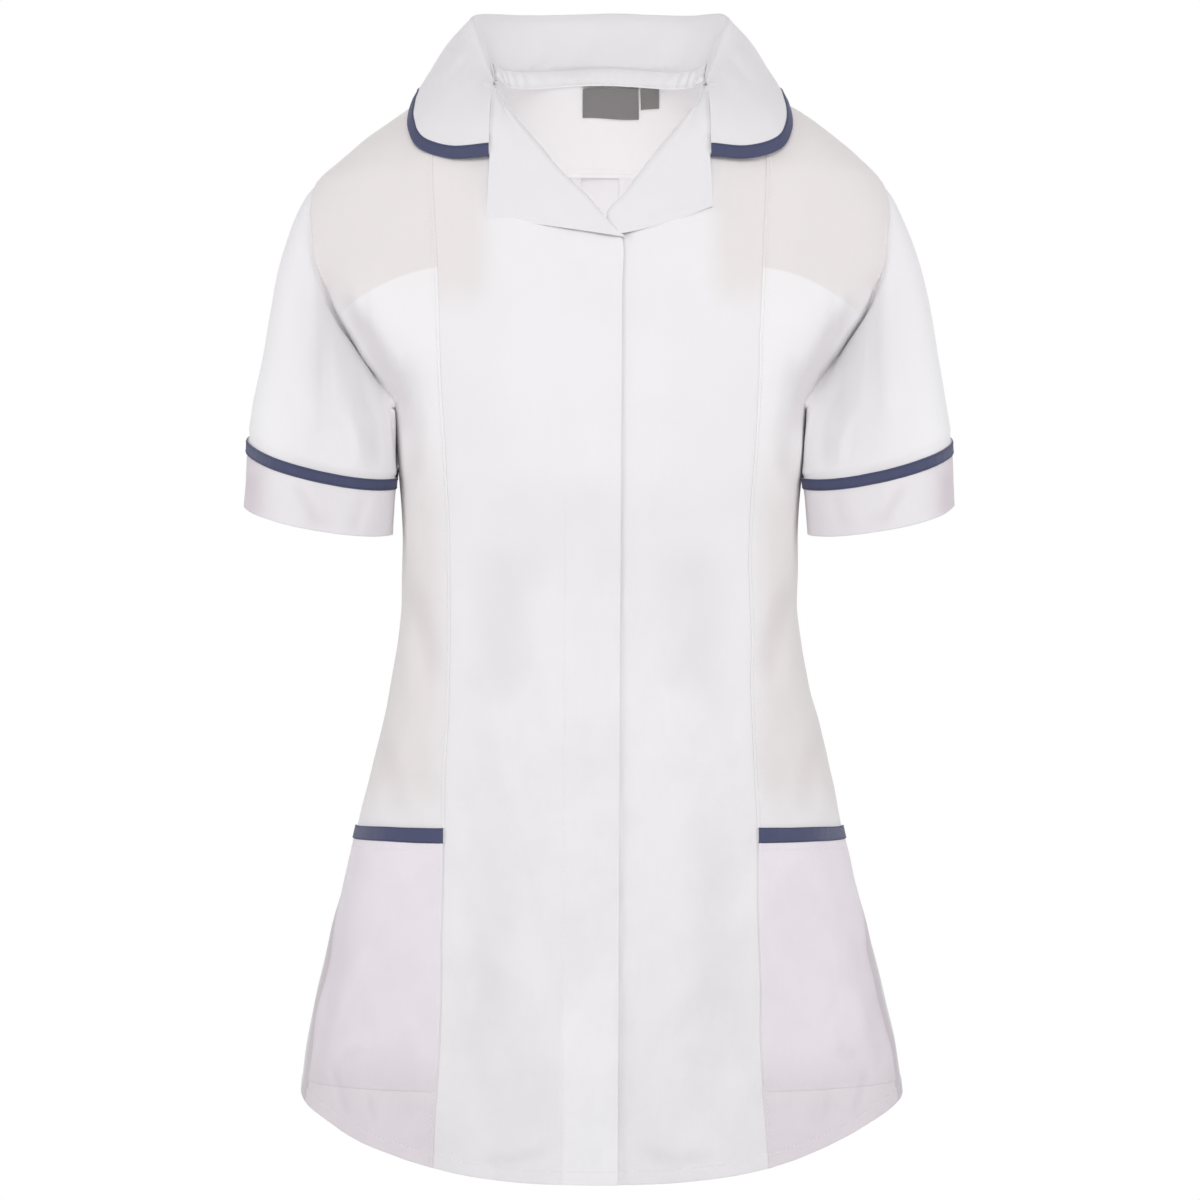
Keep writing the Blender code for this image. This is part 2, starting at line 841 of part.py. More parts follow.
def cuff_grid(out):
    """Three rings: the top, the foot of the trim and the end."""
    grid = []
    for ring in range(3):
        row = []
        for step in range(ARMHOLE_STEPS):
            turn = 2 * math.pi * step / ARMHOLE_STEPS
            top, end = (ring_point(n, turn, out) for n in ("sleeve_end", "cuff_end"))
            top -= UP * 2 * GAP
            share = (0, TRIM_WIDTH / (top - end).length, 1)[ring]
            row.append(top.lerp(end, share))
        grid.append(row)
    return grid


def sleeve_pieces(word, side):
    grid = sleeve_grid()
    outer, inner = thick(grid, CLOTH / 2, ring=True)
    for row, outside in zip(inner, grid):
        for p, q in zip(row, outside):
            p += p - q
    solid(f"sleeve_{word}", mirrored(grid, side), mirrored(inner, side), "white_cloth", True)
    faces = [cuff_grid(CUFF_STEP), cuff_grid(CUFF_STEP - CUFF_CLOTH)]
    solid(f"cuff_{word}", *(mirrored(g, side) for g in faces), "white_cloth", True)
    low = CUFF_STEP + GAP
    faces = [cuff_grid(out)[:2] for out in (low + TRIM_CLOTH, low)]
    solid(f"cuff_trim_{word}", *(mirrored(g, side) for g in faces), "blue_trim", True)


# ---------------------------------------------------------------- tags
def tag(name):
    left, right, top, bottom = (n * MM for n in TAGS[name])
    spots = [
        [back_spot(mix(left, right, t), z) for t in even(3)] for z in (bottom, top)
    ]
    low = -CLOTH - TAG_SINK
    return solid(name, laid(spots, low), laid(spots, low - TAG_CLOTH), "grey_tag")


# ---------------------------------------------------------------- the tunic
front_panel("front_right", RIGHT, over_edge, RIGHT_FRONT_TOP, under=False)
front_panel("front_left", LEFT, under_edge, LEFT_FRONT_TOP, under=True)
yoke()
back_panel()
collar_pieces()
for word, side in (("right", RIGHT), ("left", LEFT)):
    side_front(f"side_front_{word}", side)
    revere(f"revere_{word}", side)
    sleeve_pieces(word, side)
    face = GAP + CLOTH
    pocket(f"pocket_{word}", side, POCKET_FOOT, POCKET_MOUTH, "pocket_cloth", GAP, face)
    pocket(
        f"pocket_trim_{word}", side, TRIM_FOOT, POCKET_MOUTH, "blue_trim",
        face + GAP, face + GAP + TRIM_CLOTH,
    )  # fmt: skip
for name in TAGS:
    tag(name)
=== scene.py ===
# %% [markdown]
# # A round collar tunic, sewn in Blender
#
# The real thing is a woman's work tunic of white polyester and cotton, filled out as if
# somebody wore it. This lesson dresses a plain model of it, which gives every piece's
# place and size. Each piece of cloth is laid out on one body form as a sheet, so that
# all seams meet, and then gets its seams, stitching, creases and finish.

# %% The frame
import json
import math

import bpy
import numpy as np
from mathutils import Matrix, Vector

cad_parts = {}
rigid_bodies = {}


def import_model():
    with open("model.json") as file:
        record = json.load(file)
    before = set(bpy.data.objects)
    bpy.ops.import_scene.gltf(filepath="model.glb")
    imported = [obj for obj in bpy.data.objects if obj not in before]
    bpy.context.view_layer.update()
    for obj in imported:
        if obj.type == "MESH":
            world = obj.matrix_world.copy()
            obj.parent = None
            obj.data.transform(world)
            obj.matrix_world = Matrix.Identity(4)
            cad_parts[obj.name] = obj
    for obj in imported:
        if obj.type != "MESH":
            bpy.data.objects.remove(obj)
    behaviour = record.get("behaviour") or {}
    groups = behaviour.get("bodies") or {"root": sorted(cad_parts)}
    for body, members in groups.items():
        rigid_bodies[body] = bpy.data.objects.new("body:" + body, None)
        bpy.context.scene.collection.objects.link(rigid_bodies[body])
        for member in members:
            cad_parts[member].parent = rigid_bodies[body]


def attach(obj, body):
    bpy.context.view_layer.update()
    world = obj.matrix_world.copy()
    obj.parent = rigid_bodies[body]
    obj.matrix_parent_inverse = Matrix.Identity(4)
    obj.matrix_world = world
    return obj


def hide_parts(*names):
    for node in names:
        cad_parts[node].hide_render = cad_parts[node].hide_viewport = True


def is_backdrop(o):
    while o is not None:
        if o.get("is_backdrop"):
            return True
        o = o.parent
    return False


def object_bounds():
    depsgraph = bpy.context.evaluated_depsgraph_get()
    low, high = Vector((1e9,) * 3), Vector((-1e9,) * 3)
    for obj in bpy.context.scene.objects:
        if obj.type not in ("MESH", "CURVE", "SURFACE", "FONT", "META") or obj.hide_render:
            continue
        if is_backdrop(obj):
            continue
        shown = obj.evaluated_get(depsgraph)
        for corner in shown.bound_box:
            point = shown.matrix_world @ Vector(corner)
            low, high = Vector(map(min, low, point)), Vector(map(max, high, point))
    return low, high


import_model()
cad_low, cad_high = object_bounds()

MM = 0.001
RIGHT, LEFT = -1, 1
WORDS = {RIGHT: "right", LEFT: "left"}
print("frame", [round(high - low, 3) for low, high in zip(cad_low, cad_high)])

# %% [markdown]
# ## The body form
#
# A garment that is filled out follows the body under it. One smooth form stands for
# that body: at each height it is a rounded oval, and a place on it is an angle round
# the body and a height. Cloth could be draped over it by a simulation, but then its
# seams would wander, so the sheets are laid on the form.

# %% Sizes of the form
FULLNESS = 2.4  # 2 is an ellipse, more is squarer
SIDE_ANGLE = math.pi / 2
HEM_FRONT, HEM_RISE, HEM_POWER = -721.3 * MM, 45.3 * MM, 2.1
UNDERARM, SHOULDER_TIP = -225 * MM, -72 * MM
ARMHOLE_WIDTH = math.radians(22.5)
PRINCESS_TOP = 108 * MM
YOKE_CENTRE, YOKE_SIDE = -55 * MM, -103.5 * MM
# steps from the underarm up to the shoulder tip, all round the armhole, and from the tip
# back to the yoke's seam
UPPER_ROWS, ARM_STEPS, YOKE_STEP = 10, 20, 3
HALVINGS, PRINCESS_FINE = 40, 301

# height, half width, front, back, in mm
FORM = (
    (10, 48, 36, 50), (0, 68, 46, 60), (-18, 122.5, 61, 72), (-29, 139, 67, 79),
    (-55, 172.5, 80, 92), (-72, 189, 86, 97), (-100, 198, 94, 104), (-125, 199, 101, 107),
    (-150, 188, 109, 108), (-180, 165, 119, 107), (-225, 139.5, 127, 103),
    (-265, 135, 126, 97), (-310, 133, 115, 90), (-350, 133, 105, 86),
    (-400, 139, 101, 89), (-455, 151, 106, 99), (-510, 164.5, 113, 111),
    (-590, 184.5, 120, 122), (-670, 200, 126, 128), (-730, 204.5, 129, 131),
)  # fmt: skip
# height, distance of the princess seam from the centre, in mm
PRINCESS = (
    (-10, 108), (-62, 108.5), (-135, 105), (-222, 101.5),
    (-335, 96.5), (-500, 100.5), (-600, 101.6), (-730, 107.5),
)  # fmt: skip
# height in mm, angle of the side seam in degrees
SIDE_SEAM = ((-225, 90), (-490, 88), (-540, 82), (-590, 75), (-730, 74))


# %% Smooth curves through a few numbers
def blend(a, b, t):
    return a + (b - a) * t


def smooth(t):
    t = np.clip(t, 0, 1)
    return t * t * (3 - 2 * t)


def curve_through(table, column=1, unit=MM):
    """A smooth function of height that passes through a table and never overshoots."""
    rows = sorted(table)
    x = np.array([row[0] for row in rows]) * MM
    y = np.array([row[column] for row in rows]) * unit
    width = np.diff(x)
    step = np.diff(y) / width
    slope = np.concatenate([step[:1], np.zeros(len(x) - 2), step[-1:]])
    for i, (p, q) in enumerate(zip(step, step[1:])):
        slope[i + 1] = 0 if p * q <= 0 else 2 * p * q / (p + q)

    def value(place):
        i = np.clip(np.searchsorted(x, place) - 1, 0, len(x) - 2)
        t = (place - x[i]) / width[i]
        c = np.clip(t, 0, 1)
        a, b = slope[i] * width[i], slope[i + 1] * width[i]
        inside = y[i] * (1 + 2 * c) * (1 - c) ** 2 + a * c * (1 - c) ** 2
        inside = inside + y[i + 1] * c * c * (3 - 2 * c) + b * c * c * (c - 1)
        return inside + a * np.minimum(t, 0) + b * np.maximum(t - 1, 0)

    return value


half_width, front_depth, back_depth = (curve_through(FORM, k) for k in (1, 2, 3))
princess_distance = curve_through(PRINCESS)
side_seam_degrees = curve_through(SIDE_SEAM, unit=1)


# %% Places on the form
def power(value, exponent):
    return np.copysign(np.abs(value) ** exponent, value)


def on_form(angle, height):
    angle, height = np.broadcast_arrays(np.asarray(angle, float), np.asarray(height, float))
    s, c = np.sin(angle), np.cos(angle)
    depth = np.where(c > 0, front_depth(height), back_depth(height))
    x = half_width(height) * power(s, 2 / FULLNESS)
    return np.stack([x, -depth * power(c, 2 / FULLNESS), height], -1)


def unit(v):
    return v / np.maximum(np.linalg.norm(v, axis=-1, keepdims=True), 1e-12)


def outward(angle, height):
    """Straight out of the cloth."""
    turn, rise = 2e-3, 2e-4
    across = on_form(angle + turn, height) - on_form(angle - turn, height)
    along = on_form(angle, height + rise) - on_form(angle, height - rise)
    return unit(np.cross(across, along))


def front_angle(x, height):
    share = np.minimum(1, np.abs(x) / half_width(height))
    return np.copysign(np.arcsin(share ** (FULLNESS / 2)), x)


def back_angle(x, height):
    return math.pi - front_angle(x, height)


def bisected(low, high, inside):
    """The highest place at which inside is true."""
    for _ in range(HALVINGS):
        z = (low + high) / 2
        low, high = (z, high) if inside(z) else (low, z)
    return (low + high) / 2


def dropped_height(x, y):
    """The height at which the form is met from above."""
    depth = front_depth if y < 0 else back_depth

    def inside(z):
        return abs(x / half_width(z)) ** FULLNESS + abs(y / depth(z)) ** FULLNESS < 1

    return float(bisected(-0.2, 0.02, inside))


def hem_height(angle):
    return HEM_FRONT + HEM_RISE * np.abs(np.sin(angle)) ** HEM_POWER


def armhole(turn, wider=0.0):
    """Angle and height round the armhole: 0 is the shoulder tip, then forward."""
    middle, half = (SHOULDER_TIP + UNDERARM) / 2, (SHOULDER_TIP - UNDERARM) / 2
    reach = ARMHOLE_WIDTH * (1 + wider / (55 * MM))
    # in front it runs nearly straight down, and then turns under the arm in a corner
    forward = (turn < math.pi) * smooth((math.pi - turn) / 0.3)
    straight = 1 - 0.6 * smooth((turn - 1.3) / 0.8) * (turn < math.pi)
    corner = 0.45 * np.exp(-(((turn - 2.8) / 0.35) ** 2)) * forward
    return (
        SIDE_ANGLE - reach * (np.sin(turn) * straight + corner),
        middle + (half + wider) * np.cos(turn),
    )


def lengths(line):
    """The distance along a line of points, up to each of them."""
    return np.concatenate([[0], np.cumsum(np.linalg.norm(np.diff(line, axis=0), axis=1))])


top_height = bisected(SHOULDER_TIP, 0.0, lambda z: half_width(z) > PRINCESS_TOP)
fine_height = blend(top_height, UNDERARM, (np.arange(PRINCESS_FINE) / (PRINCESS_FINE - 1)) ** 2)
fine_angle = front_angle(princess_distance(fine_height), fine_height)
fine_angle[0] = SIDE_ANGLE
fine_angle, fine_height = fine_angle[::-1], fine_height[::-1]
fine_share = lengths(on_form(fine_angle, fine_height))
fine_share /= fine_share[-1]


def princess_up(share):
    """The princess seam from the underarm's level up to the shoulder seam."""
    return np.interp(share, fine_share, fine_angle), np.interp(share, fine_share, fine_height)


print("body form from", FORM[-1][0], "to", FORM[0][0], "mm")

# %% [markdown]
# ## Laying out a sheet
#
# Woven cloth bends but hardly stretches, so a sheet is a grid of points, close
# together where a seam has to show and wider apart elsewhere. Blender's own grid
# primitive gives the faces and the flat map of them, the points are then put in place,
# and the Solidify modifier gives the cloth its thickness.

# %% The cloth maker
CLOTH = 0.55 * MM


def deselect():
    bpy.ops.object.select_all(action="DESELECT")


def measure(points):
    """Distances along the middle row and the middle column of a grid of points."""
    return lengths(points[len(points) // 2]), lengths(points[:, points.shape[1] // 2])


def sheet(name, points, thickness=CLOTH, offset=-1.0, ring=False, marks=None, sharp=50):
    """A piece of cloth from rows of points. Columns run so that the face shows."""
    rows, columns = points.shape[:2]
    deselect()
    bpy.ops.mesh.primitive_grid_add(x_subdivisions=columns - 1, y_subdivisions=rows - 1, size=1)
    piece = bpy.context.active_object
    piece.name = piece.data.name = name
    mesh = piece.data
    assert len(mesh.vertices) == rows * columns, (len(mesh.vertices), rows, columns)
    mesh.vertices.foreach_set("co", points.reshape(-1).astype(np.float32))
    u, v = measure(points)
    flat = np.stack(np.broadcast_arrays(u[None, :], v[:, None]), -1).reshape(-1, 2)
    corner = np.zeros(len(mesh.loops), np.int32)
    mesh.loops.foreach_get("vertex_index", corner)
    mesh.uv_layers[0].data.foreach_set("uv", flat[corner].reshape(-1).astype(np.float32))
    for mark, values in ({"trough": troughs(points)} | (marks or {})).items():
        layer = mesh.attributes.new(mark, "FLOAT", "POINT")
        layer.data.foreach_set("value", values.reshape(-1).astype(np.float32))
    mesh.update()
    if ring:
        bpy.ops.object.mode_set(mode="EDIT")
        bpy.ops.mesh.select_all(action="SELECT")
        bpy.ops.mesh.remove_doubles(threshold=1e-6)
        bpy.ops.object.mode_set(mode="OBJECT")
    wall = piece.modifiers.new("wall", "SOLIDIFY")
    wall.thickness, wall.offset = thickness, offset
    bpy.ops.object.modifier_apply(modifier=wall.name)
    piece.data.shade_smooth()
    piece.data.set_sharp_from_angle(angle=math.radians(sharp))
    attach(piece, "root")
    return piece


OTHER_SIDE, UP = np.array([-1, 1, 1]), np.array([0.0, 0, 1])
STITCHED = {}  # each sheet's points, directions and distances, for its stitches


def sew(name, node, points, normals, held="hung", fields=(), rests_on=(), **how):
    """Makes a sheet in place of a part of the model, and keeps its points and directions for its
    stitches.
    """
    piece = sheet(name, points, **how)
    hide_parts(node)
    STITCHED[name] = (points, normals, *fields)
    return piece


def turned(side, *grids):
    """Points or directions for the wearer's left, or turned over for the right."""
    if side == LEFT:
        return grids
    return [g[:, ::-1] * (OTHER_SIDE if g.ndim == 3 else 1) for g in grids]


def sew_side(side, name, node, points, normals, out, marks=None, fields=(), **how):
    """Turns a sheet over for its side, creases it and sews it."""
    points, normals, out = turned(side, points, normals, out)
    marks = {mark: turned(side, values)[0] for mark, values in (marks or {}).items()}
    points = creased(points, normals, out)
    name, node = name.format(WORDS[side]), node.format(WORDS[side])
    how["rests_on"] = [other.format(WORDS[side]) for other in how.get("rests_on", ())]
    return sew(name, node, points, normals, fields=turned(side, *fields), marks=marks, **how)


def path_columns(path, start, end, count):
    """Even columns along a path, with closer ones at fixed distances from both ends."""
    t = np.linspace(-0.15, 1.15, 260)
    points = on_form(*path(t))
    along = lengths(points)
    first, last = np.interp((0, 1), t, along)
    length = last - first
    middle = np.linspace(start[-1], length - end[0], count + 2)[1:-1]
    wanted = np.concatenate([start, middle, length - end])
    angle, height = path(np.interp(wanted + first, along, t))
    return angle, height, wanted, length - wanted


def laid_out(rows):
    """Points, directions, angles, heights and distances from both ends, from such rows."""
    angle, height, start, end = (np.array([row[k] for row in rows]) for k in range(4))
    return on_form(angle, height), outward(angle, height), angle, height, start, end


# %% [markdown]
# ## Creases and soft waves
#
# Pressed cotton hangs smoothly, but it is never quite flat. There are shallow waves
# all over, a few folds where the cloth is held or pushed, and small puckers along
# stitching, where the thread is a little tighter than the cloth. Each fold is a line
# with a width and a depth, listed in a table.


# %% Folds
def fold_height(x, z, folds):
    """How far the cloth stands out at x, z, in mm, from a table of folds."""
    total = np.zeros_like(x)
    for line, width, depth in folds:
        line = np.array(line, float)
        steps = np.linalg.norm(np.diff(line, axis=0), axis=1)
        best, where = np.full_like(x, 1e9), np.zeros_like(x)
        done = 0.0
        for (ax, az), (bx, bz), length in zip(line, line[1:], steps):
            dx, dz = bx - ax, bz - az
            t = np.clip(((x - ax) * dx + (z - az) * dz) / length**2, 0, 1)
            gap = np.hypot(x - ax - t * dx, z - az - t * dz)
            nearer = gap < best
            best = np.where(nearer, gap, best)
            where = np.where(nearer, (done + t * length) / steps.sum(), where)
            done += length
        q = best / width
        taper = smooth(where / 0.3) * smooth((1 - where) / 0.3)
        total += depth * taper * (np.exp(-(q**2)) - 0.35 * np.exp(-((q / 2.2) ** 2)))
    return total


WAVES = (
    # size, turn in degrees, start, height in mm
    (118, 12, 0.4, 0.8), (83, -21, 2.1, 0.7), (64, 64, 4.4, 0.55), (47, -8, 1.3, 0.45),
)  # fmt: skip
RIPPLES = (
    (39, 38, 5.2, 0.36), (27, -52, 3.3, 0.28), (19, 24, 0.9, 0.18), (13, -33, 2.7, 0.09),
)  # fmt: skip


def waves(x, z, amount=1.0):
    total = np.zeros_like(x)
    lower = 0.45 + 0.75 * smooth((-240 - z) / 200)
    for size, turn, start, high in WAVES + RIPPLES:
        across = x * math.cos(math.radians(turn)) + z * math.sin(math.radians(turn)) * 0.6
        bend = 0.7 * np.sin(z / 61 + start * 2) + 0.5 * np.sin(x / 43 - start)
        wave = high * np.sin(2 * math.pi * across / size + start + bend)
        total += wave * (lower if size < 45 else 1)
    return total * amount


def puckers(along, away, size=7.0, high=0.22, reach=6.0):
    """Small gathers beside a line of stitches; along and away in mm."""
    ripple = np.sin(2 * math.pi * along / size + 1.7 * np.sin(along / 23))
    ripple = ripple * (0.65 + 0.35 * np.sin(along / 37 + 1))
    return high * ripple * np.exp(-np.abs(away) / reach)


# Seen from the front, in mm: points of the fold, its width and its height.
FRONT_FOLDS = [
    (((-25, -133), (-14, -138), (-4, -138)), 2.2, 0.7),
    (((-56, -300), (-60, -350), (-68, -430)), 24, -1.3),
    (((57, -305), (62, -355), (58, -430)), 25, -1.2),
    (((-34, -395), (-46, -440), (-38, -500)), 15, 1.1),
    (((45, -400), (36, -455), (47, -520)), 14, 1.0),
    (((-75, -470), (-70, -560), (-82, -650)), 18, -1.0),
    (((72, -480), (78, -570), (70, -655)), 18, -0.9),
    (((-20, -590), (-44, -640), (-36, -700)), 14, 0.9),
    (((30, -585), (40, -640), (30, -705)), 13, 0.9),
    (((-82, -708), (-56, -706), (-26, -698)), 6, -1.2),
    (((20, -700), (46, -706), (76, -704)), 6, -1.0),
]
# The hollow that the arm makes in front of the armhole, and the other folds of both
# sides of the body, as on the wearer's left.
HOLLOW = (((170, -142), (160, -162), (148, -184), (136, -208), (127, -256)), 8, -4.2)
BOTH_SIDES = [
    HOLLOW,
    (((160, -140), (157, -160), (151, -178)), 3.2, 1.0),
    (((152, -144), (150, -158), (146, -168)), 3.0, -0.8),
    (((131, -176), (124, -206), (119, -242), (117, -290)), 10, -2.6),
    (((120, -232), (112, -262), (113, -300)), 9, 1.2),
    (((128, -330), (116, -362), (104, -410)), 10, -1.5),
    (((134, -350), (124, -390), (122, -440)), 8, 1.3),
    (((146, -430), (134, -470), (128, -500)), 9, -1.1),
    (((174, -648), (168, -668), (162, -688)), 3.4, -1.3),
    (((149, -664), (146, -676), (144, -688)), 3.0, -1.1),
    (((152, -636), (160, -644), (168, -640)), 6, -1.0),
    (((118, -655), (112, -668), (108, -678)), 4, 0.9),
    (((168, -560), (176, -610), (184, -660)), 8, -1.3),
    (((158, -204), (148, -234), (147, -268)), 5, -1.3),
    (((166, -222), (159, -244), (157, -266)), 4, 1.5),
    (((178, -236), (175, -250), (174, -262)), 3, -1.2),
    (((202, -270), (191, -288), (180, -306)), 5, -1.5),
    (((153, -276), (157, -292), (163, -308)), 4.5, -0.8),
    (((231, -262), (232, -278), (230, -298)), 9, -1.5),
    (((188, -120), (192, -170), (186, -225)), 12, -0.6),
]
# Seen from behind, x to the wearer's left.
BACK_FOLDS = [
    (((60, -130), (66, -190), (56, -260)), 16, -1.6),
    (((-62, -135), (-58, -200), (-68, -270)), 16, -1.5),
    (((64, -300), (58, -370), (68, -440)), 13, 1.5),
    (((-58, -305), (-66, -375), (-60, -450)), 13, 1.4),
    (((98, -270), (92, -340), (104, -420)), 12, -1.6),
    (((-100, -280), (-94, -350), (-102, -430)), 12, -1.7),
    (((40, -470), (52, -560), (46, -660)), 19, -1.8),
    (((-44, -480), (-50, -570), (-42, -668)), 20, -1.7),
    (((110, -500), (118, -580), (126, -660)), 17, 1.6),
    (((-112, -495), (-122, -575), (-124, -655)), 17, 1.5),
    (((140, -165), (120, -200), (112, -240)), 9, -1.5),
    (((-140, -160), (-122, -198), (-110, -236)), 9, -1.6),
]
SIDE_MIRROR = [(tuple((-x, z) for x, z in line), w, d) for line, w, d in BOTH_SIDES]
FRONT_FOLDS += BOTH_SIDES + SIDE_MIRROR


def creased(points, normals, out=0.0, amount=1.0):
    """Points moved straight out by the garment's folds and waves, and by out."""
    x, z = points[..., 0] / MM, points[..., 2] / MM
    front = smooth(0.5 - normals[..., 1] * 1.6)
    lift = front * (fold_height(x, z, FRONT_FOLDS) + waves(x, z))
    lift = lift + (1 - front) * (fold_height(x, z, BACK_FOLDS) + waves(x + 90, z - 35, 1.2))
    return points + normals * ((lift * amount) * MM + out)[..., None]


def troughs(points):
    """How deep in a fold each point lies, from 0 to 1: less light gets there."""
    x, y, z = (points[..., k] / MM for k in range(3))
    front = smooth(0.5 - y / 60)
    lift = front * fold_height(x, z, FRONT_FOLDS) + (1 - front) * fold_height(x, z, BACK_FOLDS)
    return np.clip(-lift / 2.2, 0, 1)


print(len(FRONT_FOLDS) + len(BACK_FOLDS), "folds")

# %% [markdown]
# ## Seams
#
# The fronts are joined by lapped seams: the side piece's edge is turned in, laid over
# the centre front and stitched down 3 mm from the edge, so it stands up as a narrow
# band. The centre front runs on beneath it. The same band goes round the armhole and
# along the yoke. A seam could be a bump in the material, but then its edge would have
# no shadow, so the sheets themselves step up.

# %% Seam shapes
UNDER_STEPS = np.array([-4, -2.4, -1, -0.3, 0.3, 0.9, 1.6, 2.6, 4, 6]) * MM
BAND_STEPS = np.array([0, 0.3, 0.8, 1.5, 2.0, 2.3, 2.6, 3.0, 3.4, 3.9, 5, 7]) * MM
EDGE_STEPS = np.array([0, 0.3, 0.8, 1.5, 2.5, 4, 6, 8]) * MM
HEM_STEPS = np.array([0, 0.3, 0.8, 1.5, 2.8, 4.6, 6.4, 7.6, 8.3, 8.7, 9.1, 9.6, 10.2, 11.4, 13, 15])
HEM_STEPS = HEM_STEPS * MM


def bump(distance, centre, width):
    return np.exp(-(((distance - centre) / width) ** 2))


def band_out(away, along):
    """A turned edge that lies over its neighbour; away is from the edge."""
    rise = 0.38 * (1 - smooth((away / MM - 2.7) / 0.7))
    edge = 0.15 * (1 - smooth(away / MM / 0.6))
    stitch = 0.2 * bump(away / MM, 2.1, 0.4)
    gather = puckers(along / MM, away / MM - 2.5, 8.3, 0.16, 5)
    return (rise - edge - stitch + gather * smooth(away / MM)) * MM


def under_out(away):
    """The edge that runs on beneath a band; away is from the band's edge."""
    return -0.68 * MM * (1 - smooth((away / MM + 0.8) / 0.6))


def hem_out(high, along):
    """The turned-up hem; high is the distance above its edge."""
    rise = 0.42 * (1 - smooth((high / MM - 8.9) / 0.8))
    edge = 0.3 * (1 - smooth(high / MM / 0.7))
    stitch = 0.22 * bump(high / MM, 8.5, 0.4)
    gather = puckers(along / MM, high / MM - 9, 9.1, 0.3, 5.5)
    return (rise - edge - stitch + gather * smooth(high / MM / 4)) * MM


# %% Rows of the body pieces
LOWER_TOP = -600 * MM
LOWER = np.linspace(0, 1, 42)[1:]
MIDDLE = np.linspace(LOWER_TOP, UNDERARM, 142)[1:]


def lower_rows():
    """The rows up to the underarm: the height in front, and a function of angle and height."""
    top_step = HEM_STEPS[-1]
    for high in HEM_STEPS:
        yield HEM_FRONT + high, lambda a, _, high=high: hem_height(a) + high
    for share in LOWER:
        level = blend(HEM_FRONT + top_step, LOWER_TOP, share)
        yield level, lambda a, _, share=share: blend(hem_height(a) + top_step, LOWER_TOP, share)
    for z in MIDDLE:
        yield z, lambda _, height: height


# %% [markdown]
# ## The centre fronts
#
# Each centre front runs from the front edge to the princess seam, and up to the neck
# and shoulder. The right one laps over the left. Its edge is folded back into a facing
# whose stitching shows as a faint line down the front, and the fastening is hidden.

# %% Centre fronts
FRONT_EDGE, EDGE_DRIFT, UNDER_EDGE = 14.3 * MM, 3 * MM, 16 * MM
UNDER_DEPTH, STEP_START, STEP_OUT = 1.45 * MM, 14.9 * MM, 7 * MM
FACING = 35.6 * MM  # from the front edge to the facing's stitches
FACING_TOP = -272 * MM
# Upper inner edges: distance from the centre and height, in mm.
FRONT_TOPS = {
    RIGHT: ((-14, -189), (-14.2, -152), (-14.3, -117), (-2, -105), (11.5, -90),
            (25.5, -76.5), (53.5, -42)),
    LEFT: ((-16, -189), (-16, -152), (-16, -120), (2, -106), (17.5, -90),
           (27.5, -76), (53.5, -42)),
}  # fmt: skip
NECK_FRONT = ((67.5, -47), (68, -25))  # half width and depth of the neck seam


def spline(points, places, at):
    """A smooth curve through points that stand at given places, read at others."""
    points, places, at = (np.asarray(v, float) for v in (points, places, at))
    shape = [-1] + [1] * (points.ndim - 1)
    width = np.diff(places).reshape(shape)
    speed = np.diff(points, axis=0) / width
    slope = np.concatenate([speed[:1], np.zeros_like(points[1:-1]), speed[-1:]])
    mean = speed[:-1] * width[1:] + speed[1:] * width[:-1]
    slope[1:-1] = mean / (width[1:] + width[:-1])
    i = np.clip(np.searchsorted(places, at) - 1, 0, len(places) - 2)
    w = width[i]
    t = ((at - places[i]).reshape(shape)) / w
    return (
        points[i] * (1 + 2 * t) * (1 - t) ** 2 + slope[i] * w * t * (1 - t) ** 2
        + points[i + 1] * t * t * (3 - 2 * t) + slope[i + 1] * w * t * t * (t - 1)
    )  # fmt: skip


def front_edge(side, z):
    if side == LEFT:
        return -UNDER_EDGE + 0 * z
    return blend(-FRONT_EDGE, EDGE_DRIFT - FRONT_EDGE, (z + 116 * MM) / (HEM_FRONT + 116 * MM))


def behind(height, back):
    """The angle of a place that is a little behind the shoulder seam."""
    share = np.maximum(0, back) / back_depth(height)
    return SIDE_ANGLE + np.arcsin(share ** (FULLNESS / 2))


UPPER = np.linspace(0, UPPER_ROWS, 96)[1:]
TUCKED = np.array([1.5, 3, 4.5])  # mm that the fronts and the back run on under the yoke
FRONT_COLUMNS, SIDE_COLUMNS, BACK_COLUMNS, POCKET_COLUMNS = 40, 26, 52, 34
ARM_ROWS = 52


def tucked(rows):
    """The rows, and more of them that run on beneath the yoke."""
    _, height, start, end = rows[-1]
    return rows + [(behind(height, tuck * MM), height, start, end) for tuck in TUCKED]


def sunk(out, shares, depth):
    """Lowers the last rows, to lie beneath the yoke."""
    out[-len(shares) :] -= np.array(shares)[:, None] * depth
    return out


def level_path(start, end, z, level):
    """A path between two angles, at a height that may rise with the hem."""
    def path(t):
        angle = blend(start, end, t)
        return angle, level(angle, z) + 0 * t

    return path


def upper_edge(side):
    points = [(float(front_edge(side, UNDERARM)) / MM, UNDERARM / MM), *FRONT_TOPS[side]]
    points += [(x, dropped_height(x * MM, y * MM) / MM) for x, y in NECK_FRONT]
    points += [(68, 0)]
    return spline(np.array(points) * MM, range(UPPER_ROWS + 1), UPPER)


def warm_shade_mask(x, z):
    """Painted shade: a warm grey tint on the waist's sides and the shoulders, where the cloth lies
    single and turns away from the light.
    """
    across, z = np.abs(x) / MM, z / MM
    waist = smooth((across - 92) / 22) * smooth((z + 500) / 40) * smooth((-205 - z) / 60)
    shoulder = smooth((z + 172) / 34) * smooth((across - 64) / 20)
    return np.maximum(waist, shoulder)


def shade_tint_mask(z, to_side):
    """Painted shade: the cloth is coloured greyer where it turns from the light, low at the sides
    and most beside the side seam.
    """
    z = z / MM
    seam = smooth((-520 - z) / 60) * smooth(1 - to_side / (13 * MM))
    return np.maximum(0.9 * smooth((-645 - z) / 30), seam)


